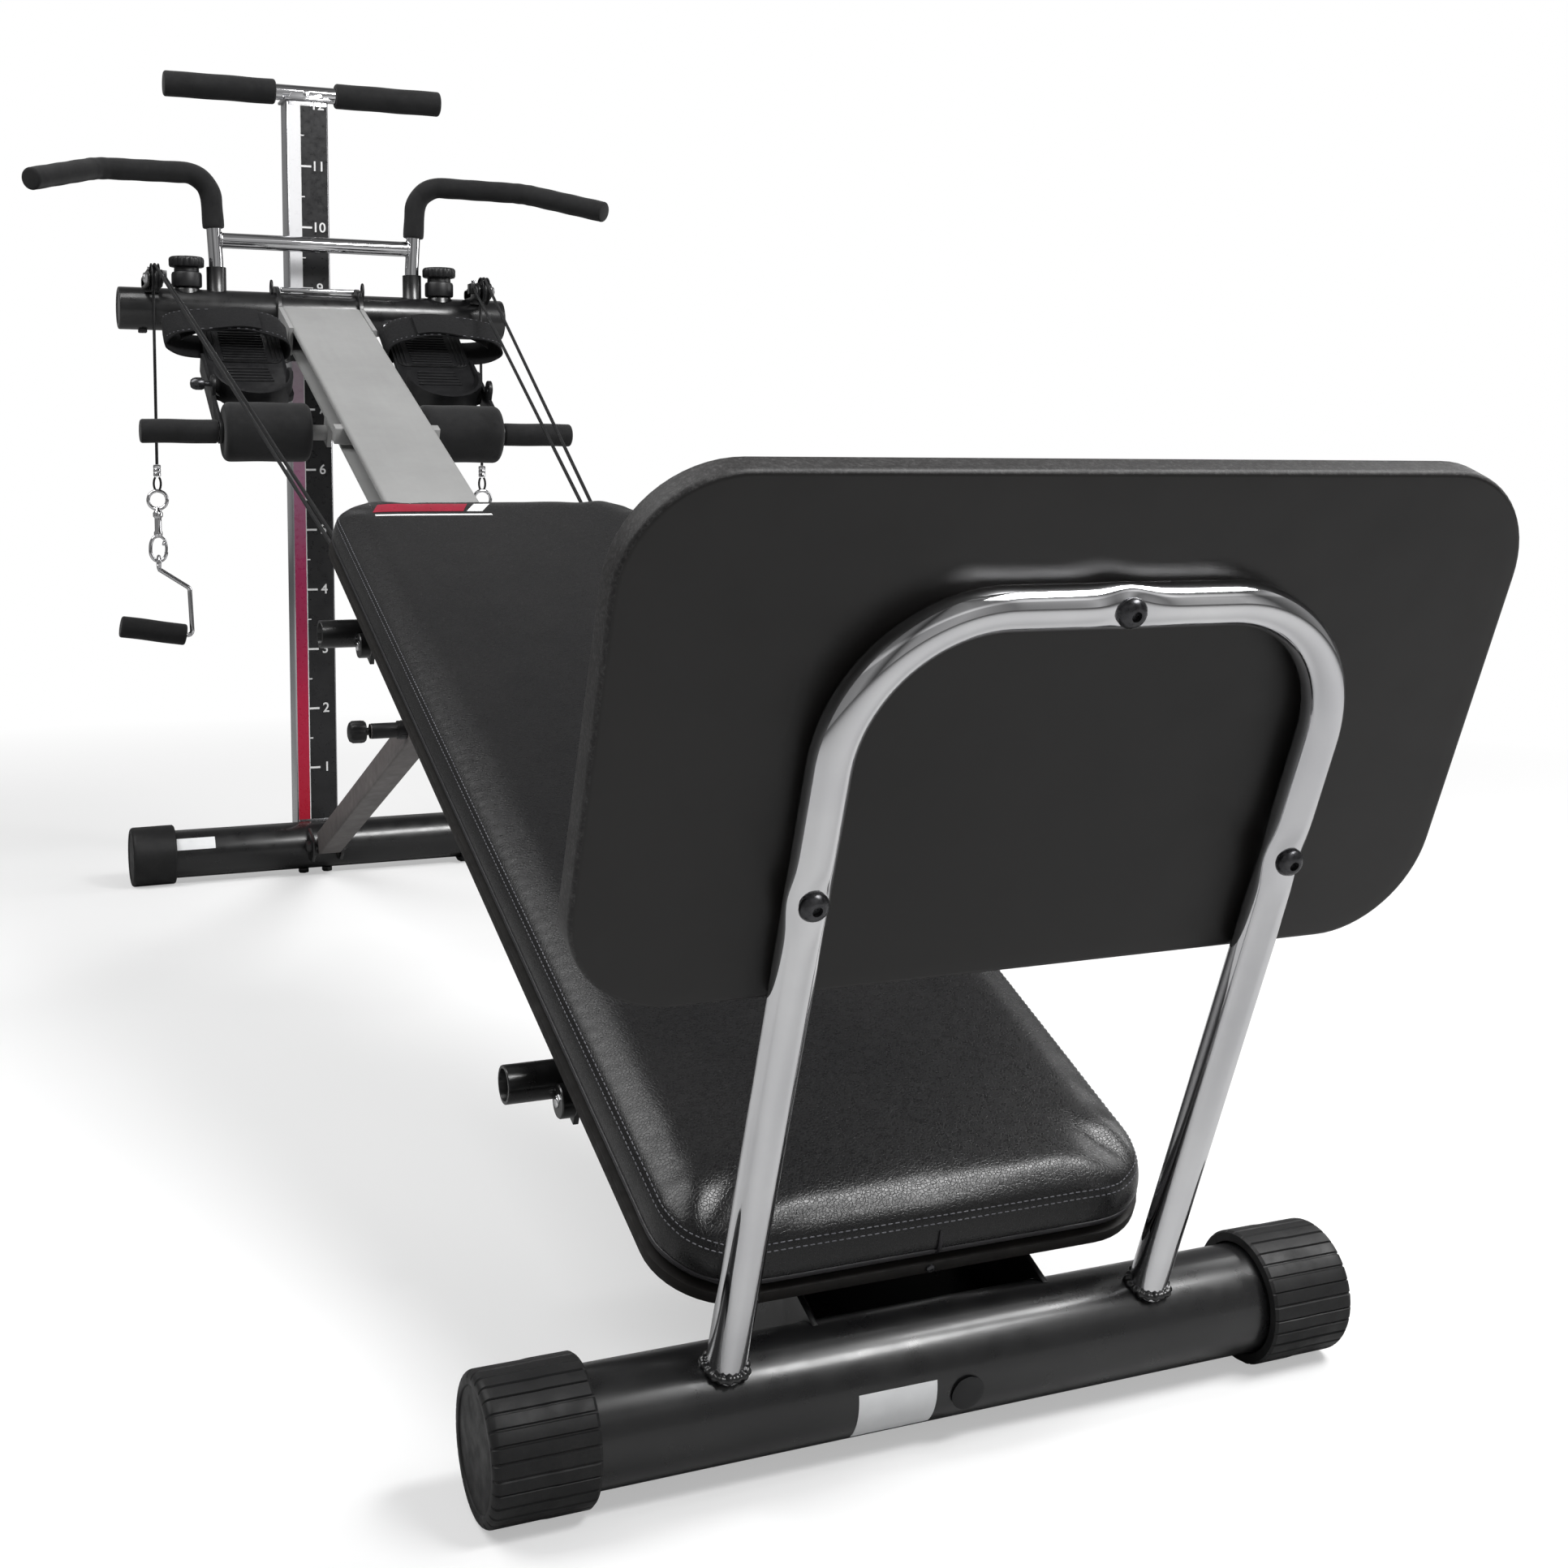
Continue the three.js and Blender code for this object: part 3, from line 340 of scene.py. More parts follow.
# ---------- materials ----------
class Look:
    """A material whose colour, roughness and bump come from procedural nodes in object space."""

    def __init__(self, name, rough, metallic=0.0, specular=0.5, coat=0.0, sheen=0.0):
        self.material = bpy.data.materials.new(name)
        self.material.use_nodes = True
        self.tree = self.material.node_tree
        self.shader = self.tree.nodes["Principled BSDF"]
        self.shader.inputs["Metallic"].default_value = metallic
        self.shader.inputs["Specular IOR Level"].default_value = specular
        self.shader.inputs["Coat Weight"].default_value = coat
        self.shader.inputs["Coat Roughness"].default_value = 0.15
        self.shader.inputs["Sheen Weight"].default_value = sheen
        self.shader.inputs["Roughness"].default_value = rough
        self.place = self.node("ShaderNodeTexCoord").outputs["Object"]
        self.bump = None

    def node(self, kind, **values):
        made = self.tree.nodes.new(kind)
        for key, value in values.items():
            setattr(made, key, value)
        return made

    def link(self, a, b):
        self.tree.links.new(a, b)

    def noise(self, scale, detail=4.0, rough=0.55, stretch=None):
        made = self.node("ShaderNodeTexNoise")
        made.inputs["Scale"].default_value = scale
        made.inputs["Detail"].default_value = detail
        made.inputs["Roughness"].default_value = rough
        self.link(self.stretched(stretch), made.inputs["Vector"])
        return made.outputs["Fac"]

    def stretched(self, stretch):
        if stretch is None:
            return self.place
        mapping = self.node("ShaderNodeMapping")
        mapping.inputs["Scale"].default_value = stretch
        self.link(self.place, mapping.inputs["Vector"])
        return mapping.outputs["Vector"]

    def cells(self, scale, feature="F1", stretch=None):
        made = self.node("ShaderNodeTexVoronoi", feature=feature)
        made.inputs["Scale"].default_value = scale
        self.link(self.stretched(stretch), made.inputs["Vector"])
        return made.outputs["Distance"]

    def waves(self, scale, direction="X", profile="SIN"):
        made = self.node("ShaderNodeTexWave", bands_direction=direction, wave_profile=profile)
        made.inputs["Scale"].default_value = scale
        self.link(self.place, made.inputs["Vector"])
        return made.outputs["Fac"]

    def ramp(self, value, stops):
        made = self.node("ShaderNodeValToRGB")
        ramp = made.color_ramp
        while len(ramp.elements) < len(stops):
            ramp.elements.new(0.5)
        for element, (at, color) in zip(ramp.elements, stops):
            element.position = at
            element.color = (*color, 1) if len(color) == 3 else (color[0],) * 3 + (1,)
        self.link(value, made.inputs["Fac"])
        return made.outputs["Color"]

    def span(self, value, low, high, from_low=0.3, from_high=0.7):
        made = self.node("ShaderNodeMapRange")
        made.inputs["From Min"].default_value = from_low
        made.inputs["From Max"].default_value = from_high
        made.inputs["To Min"].default_value = low
        made.inputs["To Max"].default_value = high
        self.link(value, made.inputs["Value"])
        return made.outputs["Result"]

    def math(self, operation, a, b):
        made = self.node("ShaderNodeMath", operation=operation)
        for socket, value in zip(made.inputs, (a, b)):
            if isinstance(value, (int, float)):
                socket.default_value = value
            else:
                self.link(value, socket)
        return made.outputs["Value"]

    def mix(self, factor, a, b):
        made = self.node("ShaderNodeMix", data_type="RGBA")
        self.link(factor, made.inputs["Factor"])
        for socket, value in ((made.inputs[6], a), (made.inputs[7], b)):
            if isinstance(value, tuple):
                socket.default_value = (*value, 1)
            else:
                self.link(value, socket)
        return made.outputs[2]

    def attribute(self, name):
        return self.node("ShaderNodeAttribute", attribute_name=name).outputs["Fac"]

    def color(self, value):
        self.link(value, self.shader.inputs["Base Color"])
        return self

    def rough(self, value):
        self.link(value, self.shader.inputs["Roughness"])
        return self

    def raise_by(self, height, depth_mm, strength=1.0):
        bump = self.node("ShaderNodeBump")
        bump.inputs["Strength"].default_value = strength
        bump.inputs["Distance"].default_value = depth_mm * MM
        self.link(height, bump.inputs["Height"])
        if self.bump is not None:
            self.link(self.bump, bump.inputs["Normal"])
        self.bump = bump.outputs["Normal"]
        self.link(self.bump, self.shader.inputs["Normal"])
        return self


def dusty(look, base, dust, amount=0.35, scale=14):
    """The base colour with a faint uneven film over it."""
    cloud = look.noise(scale, 6, 0.65)
    fine = look.noise(scale * 22, 3, 0.6)
    both = look.math("MULTIPLY", look.span(cloud, 0, 1, 0.4, 0.75), look.span(fine, 0.3, 1, 0.35, 0.7))
    return look.color(look.mix(look.math("MULTIPLY", both, amount), base, dust))


def black_steel():
    look = Look("satin_black_steel", 0.3, coat=0.25, specular=0.6)
    dusty(look, (0.006, 0.006, 0.0065), (0.032, 0.031, 0.030), 0.25)
    look.rough(look.span(look.noise(40, 5), 0.24, 0.38))
    look.raise_by(look.noise(900, 3), 0.03, 0.25)
    return look.raise_by(look.noise(120, 3), 0.08, 0.08).material


def chrome():
    look = Look("chrome_plate", 0.06, metallic=1.0)
    look.color(look.ramp(look.noise(9, 5), [(0.3, (0.70, 0.70, 0.72)), (0.7, (0.86, 0.86, 0.87))]))
    look.rough(look.span(look.noise(260, 6, 0.7, (1, 1, 0.2)), 0.03, 0.12))
    return look.raise_by(look.noise(60, 3), 0.05, 0.08).material


def satin_chrome():
    look = Look("satin_chrome_column", 0.2, metallic=1.0)
    look.color(look.ramp(look.noise(7, 5), [(0.3, (0.55, 0.55, 0.57)), (0.7, (0.74, 0.74, 0.76))]))
    look.rough(look.span(look.noise(300, 5, 0.7, (1, 1, 0.05)), 0.14, 0.28))
    return look.raise_by(look.noise(80, 3), 0.05, 0.1).material


def rail_grey():
    look = Look("light_grey_rail", 0.45, specular=0.4)
    cloud = look.noise(5, 6, 0.7)
    look.color(look.ramp(cloud, [(0.3, (0.27, 0.27, 0.268)), (0.7, (0.33, 0.33, 0.327))]))
    look.rough(look.span(look.noise(30, 5, 0.6, (1, 0.1, 0.1)), 0.36, 0.55))
    look.raise_by(look.noise(700, 3), 0.04, 0.3)
    return look.raise_by(look.noise(90, 3), 0.1, 0.12).material


def strut_grey():
    look = Look("taupe_grey_strut", 0.45, specular=0.4)
    look.color(look.ramp(look.noise(12, 6, 0.7), [(0.3, (0.11, 0.10, 0.098)), (0.7, (0.165, 0.15, 0.146))]))
    look.rough(look.span(look.noise(60, 5), 0.38, 0.55))
    return look.raise_by(look.noise(800, 3), 0.04, 0.3).material


def rubber():
    look = Look("cap_rubber", 0.55, specular=0.35)
    dusty(look, (0.008, 0.008, 0.0085), (0.04, 0.039, 0.038), 0.4, 22)
    look.rough(look.span(look.noise(70, 6), 0.42, 0.66))
    look.raise_by(look.noise(1100, 4), 0.06, 0.35)
    return look.raise_by(look.noise(200, 4), 0.12, 0.2).material


def foam():
    look = Look("foam_sleeve", 0.85, specular=0.25, sheen=0.15)
    dusty(look, (0.007, 0.007, 0.0075), (0.03, 0.03, 0.031), 0.45, 30)
    look.rough(look.span(look.noise(120, 5), 0.72, 0.92))
    look.raise_by(look.cells(1300), 0.25, 0.5)
    return look.raise_by(look.noise(420, 5, 0.7), 0.3, 0.35).material


def vinyl():
    look = Look("grained_vinyl", 0.3, specular=0.42)
    cloud = look.noise(6, 6, 0.65)
    look.color(look.ramp(cloud, [(0.3, (0.0055, 0.0055, 0.006)), (0.7, (0.0105, 0.0102, 0.0105))]))
    grain = look.cells(620, "F1", (1, 1, 1))
    creases = look.cells(410, "DISTANCE_TO_EDGE")
    look.rough(look.span(look.math("ADD", look.math("MULTIPLY", grain, 0.6), look.noise(240, 4)), 0.22,
                         0.36, 0.4, 1.1))
    look.raise_by(look.span(creases, 0, 1, 0.0, 0.12), 0.14, 0.45)
    look.raise_by(grain, 0.10, 0.35)
    return look.raise_by(look.noise(45, 4, 0.6), 0.3, 0.12).material


def boxing():
    look = Look("boxing_vinyl", 0.4, specular=0.45)
    look.color(look.ramp(look.noise(9, 6), [(0.3, (0.013, 0.0122, 0.0145)), (0.7, (0.021, 0.0195, 0.0225))]))
    look.rough(look.span(look.noise(150, 5), 0.34, 0.52))
    look.raise_by(look.cells(700), 0.12, 0.4)
    return look.raise_by(look.noise(60, 4, 0.6, (1, 0.4, 0.4)), 0.4, 0.25).material


def plate_black():
    look = Look("moulded_plate", 0.42, specular=0.45)
    edge = look.attribute("edge")
    face = look.ramp(look.noise(3.5, 6, 0.6), [(0.3, (0.0085, 0.0078, 0.0074)),
                                               (0.7, (0.0135, 0.0122, 0.0115))])
    specks = look.noise(420, 5, 0.75)
    fibre = look.noise(230, 5, 0.8, (1, 1, 0.5))
    flecks = look.math("MULTIPLY", look.span(specks, 0, 1, 0.44, 0.62), look.span(fibre, 0.15, 1, 0.38, 0.62))
    worn = look.mix(flecks, (0.014, 0.013, 0.013), (0.07, 0.068, 0.068))
    look.color(look.mix(edge, face, worn))
    look.rough(look.math("ADD", look.span(look.noise(25, 5), 0.3, 0.42), look.math("MULTIPLY", edge, 0.2)))
    look.raise_by(look.math("MULTIPLY", specks, look.math("ADD", look.math("MULTIPLY", edge, 1.0), 0.06)),
                  0.35, 0.5)
    return look.raise_by(look.noise(1200, 3), 0.03, 0.2).material


def plastic():
    look = Look("black_plastic", 0.42, specular=0.45)
    dusty(look, (0.007, 0.007, 0.0078), (0.03, 0.03, 0.031), 0.25, 25)
    look.rough(look.span(look.noise(80, 5), 0.34, 0.5))
    return look.raise_by(look.noise(1300, 3), 0.04, 0.35).material


def webbing():
    look = Look("woven_strap", 0.8, specular=0.2, sheen=0.04)
    weft = look.waves(420, "X")
    warp = look.waves(420, "DIAGONAL")
    weave = look.math("MULTIPLY", weft, warp)
    look.color(look.mix(weave, (0.005, 0.005, 0.0056), (0.020, 0.020, 0.0212)))
    look.rough(look.span(look.noise(300, 4), 0.68, 0.9))
    return look.raise_by(weave, 0.4, 0.6).material


def plywood():
    look = Look("stained_board", 0.65, specular=0.3)
    look.color(look.ramp(look.noise(70, 6, 0.7, (1, 0.1, 1)),
                         [(0.3, (0.007, 0.006, 0.0056)), (0.7, (0.015, 0.013, 0.0115))]))
    look.rough(look.span(look.noise(90, 5), 0.55, 0.75))
    return look.raise_by(look.noise(220, 5, 0.7, (1, 0.1, 1)), 0.2, 0.4).material


def cable_jacket():
    look = Look("cable_jacket", 0.38, specular=0.5)
    dusty(look, (0.007, 0.007, 0.0075), (0.028, 0.028, 0.03), 0.3, 60)
    look.rough(look.span(look.noise(200, 4), 0.3, 0.46))
    return look.raise_by(look.noise(900, 3), 0.05, 0.3).material


def dark_bolt():
    look = Look("oxide_bolt", 0.28, metallic=0.85)
    look.color(look.ramp(look.noise(150, 5), [(0.3, (0.04, 0.04, 0.043)), (0.7, (0.10, 0.10, 0.105))]))
    look.rough(look.span(look.noise(300, 5), 0.2, 0.4))
    return look.raise_by(look.noise(700, 3), 0.04, 0.3).material


def printed(name, low, high, gloss=0.3):
    look = Look(name, gloss, specular=0.45)
    look.color(look.ramp(look.noise(30, 5), [(0.3, low), (0.7, high)]))
    look.rough(look.span(look.noise(120, 4), gloss - 0.06, gloss + 0.1))
    return look.raise_by(look.noise(500, 3), 0.03, 0.2).material


def scale_stripe():
    """The decal's coloured strip: white at the top, then lilac, pink and crimson."""
    look = Look("level_stripe", 0.3, specular=0.45)
    split = look.node("ShaderNodeSeparateXYZ")
    look.link(look.place, split.inputs["Vector"])
    rise = look.span(split.outputs["Z"], 0, 1, 0.1, 1.25)
    speck = look.noise(160, 4)
    wobble = look.math("ADD", rise, look.span(speck, -0.01, 0.01))
    look.color(look.ramp(wobble, [
        (0.0, (0.40, 0.010, 0.03)), (0.16, (0.42, 0.010, 0.05)), (0.34, (0.36, 0.025, 0.10)),
        (0.47, (0.40, 0.16, 0.27)), (0.6, (0.55, 0.42, 0.50)), (0.72, (0.80, 0.80, 0.82)),
        (1.0, (0.86, 0.86, 0.87))]))
    look.rough(look.span(speck, 0.24, 0.38))
    return look.raise_by(look.noise(500, 3), 0.03, 0.2).material


LOOKS = {
    "black_steel": black_steel(), "chrome": chrome(), "satin_chrome": satin_chrome(),
    "rail_grey": rail_grey(),
    "strut_grey": strut_grey(), "rubber": rubber(), "foam": foam(), "vinyl": vinyl(), "boxing": boxing(),
    "plate_black": plate_black(), "plastic": plastic(), "webbing": webbing(), "plywood": plywood(),
    "cable": cable_jacket(), "bolt_steel": dark_bolt(), "stripe": scale_stripe(),
    "decal_black": printed("decal_black", (0.010, 0.010, 0.011), (0.018, 0.018, 0.019)),
    "decal_white": printed("decal_white", (0.72, 0.72, 0.72), (0.84, 0.84, 0.84)),
    "label": printed("blank_label", (0.80, 0.81, 0.82), (0.90, 0.91, 0.92), 0.35),
    "emblem_red": printed("emblem_red", (0.22, 0.006, 0.02), (0.30, 0.009, 0.032)),
    "thread": printed("seam_thread", (0.10, 0.10, 0.115), (0.17, 0.17, 0.185), 0.6),
}


def dress(obj, look):
    obj.data.materials.clear()
    obj.data.materials.append(LOOKS[look])
    return obj


def piece(obj, body, look, *nodes):
    """Finishes a piece, rides it on its body and lets it stand for CAD nodes."""
    if look:
        dress(obj, look)
    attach(obj, body)
    if nodes:
        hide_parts(*nodes)
    return obj


# ---------- camera, light and floor ----------
def floor_paper():
    """White studio paper: it fades into the white background and mirrors darker than it looks."""
    look = Look("pale_floor", 0.9, specular=0.05)
    look.color(look.ramp(look.noise(1.5, 3), [(0.3, (0.92, 0.92, 0.92)), (0.7, (0.95, 0.95, 0.95))]))
    tree = look.material.node_tree
    reach = look.node("ShaderNodeVectorMath", operation="LENGTH")
    look.link(look.place, reach.inputs[0])
    fade = look.span(reach.outputs["Value"], 0.42, 1.0, 1.2, 3.4)
    glow = look.node("ShaderNodeEmission")
    paper = look.node("ShaderNodeMixShader")
    look.link(fade, paper.inputs["Fac"])
    look.link(look.shader.outputs["BSDF"], paper.inputs[1])
    look.link(glow.outputs["Emission"], paper.inputs[2])
    dim = look.node("ShaderNodeBsdfDiffuse")
    dim.inputs["Color"].default_value = (0.42, 0.42, 0.42, 1)
    path = look.node("ShaderNodeLightPath")
    seen = look.node("ShaderNodeMixShader")
    look.link(path.outputs["Is Camera Ray"], seen.inputs["Fac"])
    look.link(dim.outputs["BSDF"], seen.inputs[1])
    look.link(paper.outputs["Shader"], seen.inputs[2])
    output = next(node for node in tree.nodes if node.type == "OUTPUT_MATERIAL")
    look.link(seen.outputs["Shader"], output.inputs["Surface"])
    return look.material


def set_stage():
    scene = bpy.context.scene
    data = bpy.data.cameras.new("camera")
    camera = bpy.data.objects.new("camera", data)
    scene.collection.objects.link(camera)
    yaw, pitch, focal, image = 0.4152, 0.0670, 2444.35, 1932
    forward = Vector((math.sin(yaw) * math.cos(pitch), math.cos(yaw) * math.cos(pitch), -math.sin(pitch)))
    right = Vector((math.cos(yaw), -math.sin(yaw), 0))
    up = right.cross(forward)
    turn = Matrix((right, up, -forward)).transposed().to_4x4()
    camera.matrix_world = Matrix.Translation(world(-626.58, -1149.08, 634.23)) @ turn
    data.lens = focal * 36 / image
    data.shift_x = (966 - 948.64) / image
    data.shift_y = (762.23 - 966) / image
    data.clip_start = 0.02
    scene.camera = camera

    def area(name, size, at, target, power):
        light = bpy.data.lights.new(name, "AREA")
        light.shape = "RECTANGLE"
        light.size, light.size_y = size
        light.energy = power
        obj = bpy.data.objects.new(name, light)
        obj.location = at
        obj.rotation_euler = (Vector(target) - Vector(at)).to_track_quat("-Z", "Y").to_euler()
        scene.collection.objects.link(obj)

    area("front_top", (2.0, 1.0), (1.6, -2.2, 3.2), (0, -0.7, 0.3), 150)
    area("left_top", (1.5, 2.6), (-1.7, 0.1, 3.1), (0, 0, 0.3), 70)
    area("rim", (1.0, 2.4), (3.4, 0.4, 1.9), (0, -0.2, 0.5), 30)

    sky = bpy.data.worlds.new("studio")
    sky.use_nodes = True
    scene.world = sky
    nodes, links = sky.node_tree.nodes, sky.node_tree.links
    back = nodes["Background"]
    coord = nodes.new("ShaderNodeTexCoord")
    split = nodes.new("ShaderNodeSeparateXYZ")
    links.new(coord.outputs["Generated"], split.inputs["Vector"])

    def grey_ramp(value, stops):
        ramp = nodes.new("ShaderNodeValToRGB")
        links.new(value, ramp.inputs["Fac"])
        while len(ramp.color_ramp.elements) < len(stops):
            ramp.color_ramp.elements.new(0.5)
        for element, (at, grey) in zip(ramp.color_ramp.elements, stops):
            element.position = at
            element.color = (grey, grey, grey, 1)
        return ramp.outputs["Color"]

    by_height = grey_ramp(split.outputs["Z"],
                          [(0.0, 0.5), (0.46, 0.5), (0.5, 0.95), (0.56, 1.0), (0.66, 0.35), (1.0, 0.25)])
    compass = nodes.new("ShaderNodeMath")
    compass.operation = "ARCTAN2"
    links.new(split.outputs["Y"], compass.inputs[0])
    links.new(split.outputs["X"], compass.inputs[1])
    turns = nodes.new("ShaderNodeMath")
    turns.operation = "MULTIPLY_ADD"
    turns.inputs[1].default_value = 1 / (2 * math.pi)
    turns.inputs[2].default_value = 0.5
    links.new(compass.outputs["Value"], turns.inputs[0])
    around = grey_ramp(turns.outputs["Value"],
                       [(0.0, 0.75), (0.10, 0.9), (0.16, 0.2), (0.20, 1.0), (0.27, 1.3),
                        (0.33, 0.6), (0.36, 1.6), (0.40, 0.25), (0.48, 0.9), (0.62, 0.35),
                        (0.70, 1.1), (0.86, 0.5), (1.0, 0.75)])
    banded = nodes.new("ShaderNodeVectorMath")
    banded.operation = "MULTIPLY"
    links.new(by_height, banded.inputs[0])
    links.new(around, banded.inputs[1])
    links.new(banded.outputs["Vector"], back.inputs["Color"])
    path = nodes.new("ShaderNodeLightPath")
    white = nodes.new("ShaderNodeBackground")
    white.inputs["Color"].default_value = (1, 1, 1, 1)
    white.inputs["Strength"].default_value = 1.0
    blend = nodes.new("ShaderNodeMixShader")
    back.inputs["Strength"].default_value = 0.55
    links.new(path.outputs["Is Camera Ray"], blend.inputs["Fac"])
    links.new(back.outputs["Background"], blend.inputs[1])
    links.new(white.outputs["Background"], blend.inputs[2])
    links.new(blend.outputs["Shader"], nodes["World Output"].inputs["Surface"])

    mesh = bpy.data.meshes.new("floor")
    reach = 12.0
    mesh.from_pydata([(-reach, -reach, 0), (reach, -reach, 0), (reach, reach, 0), (-reach, reach, 0)], [],
                     [(0, 1, 2, 3)])
    floor = bpy.data.objects.new("floor", mesh)
    scene.collection.objects.link(floor)
    mesh.materials.append(floor_paper())
    scene.view_settings.view_transform = "Standard"




# ---------- stabilizers ----------
STAB_Z = 46
CAP_R = 46.9


def end_cap(name, body, node, y, half, length, sign, ribs):
    """A rubber cap: banded or ribbed skirt, rolled rim and a recessed disc on its outer face."""
    start = half - length
    profile = [(38.4, start + 6), (39.5, start), (CAP_R - 1.5, start), (CAP_R, start + 2.0)]
    steps = 14
    for i in range(1, steps):
        profile.append((CAP_R, start + 2 + (length - 7) * i / steps))
    for i in range(7):
        a = math.pi / 2 * i / 6
        profile.append((CAP_R - 5 + 5 * math.cos(a), half - 5 + 5 * math.sin(a)))
    profile += [(38.6, half), (37.8, half - 0.4), (37.2, half - 1.3), (30, half - 1.5), (12, half - 1.3),
                (0, half - 1.2)]

    def ripple(turn, radius, height):
        if radius < CAP_R - 4 or height < start + 1:
            return 0
        if not ribs:
            return 0.25 * math.sin(turn * 5 + height * 0.05)
        phase = (turn * ribs / (2 * math.pi)) % 1
        groove = 1.1 if phase < 0.09 else 0
        step = 0.35 if (height - start) > length * 0.44 else 0
        return -groove - step

    obj = turned(name, profile, world(0, y, STAB_Z), (sign, 0, 0), ribs * 12 if ribs else 96, ripple, 28)
    for vert in obj.data.vertices:
        vert.co.z = max(vert.co.z, 0.0)
    return piece(obj, body, "rubber", node)


def floor_tube(name, body, node, y, half, extras=()):
    length = 2 * (half - 7)
    profile = sleeve_profile(38, 35.5, length, 0.6)
    tube = turned(name + "_tube", profile, world(-(half - 7), y, STAB_Z), (1, 0, 0), 96)
    return piece(merge(name, [tube, *extras]), body, "black_steel", node)


def weld_bead(name, centre, normal, radius, wire=2.6):
    """A ring of overlapping weld ripples."""
    u, v, w = axis_frame(normal)
    rings = []
    steps, sides = 72, 10
    for i in range(steps):
        a = 2 * math.pi * i / steps
        size = wire * (1 + 0.22 * math.sin(a * 17) + 0.12 * math.sin(a * 7 + 1))
        out = u * math.cos(a) + v * math.sin(a)
        centre_line = centre + out * (radius + 0.5 * math.sin(a * 5)) * MM
        rings.append([centre_line + spoke * size * MM for spoke in spokes(out, w, sides)])
    return skin(name, rings, loop=True, angle=60)


def wrapped_patch(name, x0, x1, angle0, angle1, y, look, body, lift=0.25):
    """A thin label bent round a floor tube; angles in degrees from -Y towards +Z."""
    steps = 12
    rings = []
    for i in range(steps + 1):
        a = math.radians(angle0 + (angle1 - angle0) * i / steps)
        low, high = 38.02, 38.02 + lift
        ring_points = []
        for x, r in ((x0, low), (x1, low), (x1, high), (x0, high)):
            ring_points.append(world(x, y - r * math.cos(a), STAB_Z + r * math.sin(a)))
        rings.append(ring_points)
    return piece(skin(name, rings), body, look)


def hex_head(name, origin, direction, across, height):
    """A hexagon head with a chamfered, domed top."""
    u, v, w = axis_frame(direction)
    rings = []
    for scale, h in ((1, 0), (1, height * 0.75), (0.93, height * 0.9), (0.8, height), (0.35, height * 1.02)):
        rings.append([
            origin + (u * math.cos(math.radians(60 * i + 30)) + v * math.sin(math.radians(60 * i + 30)))
            * across / 1.732 * scale * MM + w * h * MM
            for i in range(6)
        ])
    return skin(name, rings)


LEAN = 0.383
HOOP_Y = -6.3


def leg(x, height, out=0.0):
    """A point on the squat frame's plane: height up its legs, out towards the user's side."""
    return world(x, HOOP_Y - height * math.sin(LEAN) - out * math.cos(LEAN),
                 STAB_Z + height * math.cos(LEAN) - out * math.sin(LEAN))


LEG_UP = (leg(0, 1) - leg(0, 0)).normalized()
LEG_OUT = (leg(0, 0, 1) - leg(0, 0)).normalized()


def build_floor_parts():
    beads = [weld_bead(f"weld_{n}", leg(s * 159.4, 36), LEG_UP, 14.0) for n, s in SIDES.items()]
    floor_tube("front_floor_tube", "rail", "front_stabilizer", 0, 318, beads)
    for n, s in SIDES.items():
        end_cap(f"front_floor_cap_{n}", "rail", f"front_cap_{n}", 0, 318, 68, s, 30)
        end_cap(f"rear_floor_cap_{n}", "tower", f"rear_cap_{n}", 2108, 298, 66, s, 0)
    wrapped_patch("front_label", -74, -17, -49, 6, 0, "label", "rail")
    plug = turned("front_plug", [(0, 0.2), (11, 0.2), (12, 0.7), (12, 1.2), (10.5, 1.7), (6, 1.9), (0, 2.0)],
                  world(6, -37.2, 37), (0, -1, -0.22), 40)
    piece(plug, "rail", "plastic")

    tube = turned("rear_tube", sleeve_profile(38, 35.5, 2 * 291, 0.6), world(-291, 2108, STAB_Z),
                  (1, 0, 0), 96)
    lugs = refined_lugs()
    nuts = [hex_head(f"foot_nut_{i}", world(x, 2104, 8.4), (0, 0, -1), 15, 7) for i,
            x in enumerate((-28, 10))]
    piece(merge("rear_floor_tube", [tube, *lugs, *nuts]), "tower", "black_steel", "rear_stabilizer")
    wrapped_patch("rear_label", -238, -172, 18, 48, 2108, "label", "tower")


def refined_lugs():
    """The two ears that hold the strut's lower end, with their bolt."""
    made = []
    outline = [(2036, 40), (2050, 28), (2078, 28), (2078, 78), (2052, 70), (2036, 62)]
    for x in (-22.5, 22.5):
        made.append(slab(f"lug_{x}", outline, x - 2.5, x + 2.5, lambda a, b, h: world(h, a, b), 0.6, 2,
                         "convex"))
    made.append(turned("lug_bolt", rounded_profile(6, 64, 0.8), world(-32, 2054, 52), (1, 0, 0), 32))
    made.append(hex_head("lug_head", world(-25, 2054, 52), (-1, 0, 0), 16, 8))
    made.append(hex_head("lug_nut", world(25, 2054, 52), (1, 0, 0), 16, 8))
    return made


# ---------- squat stand ----------
SIDE_BOLT_X, SIDE_BOLT_AT, HOOP_TOP = 163.6, 385.5, 562


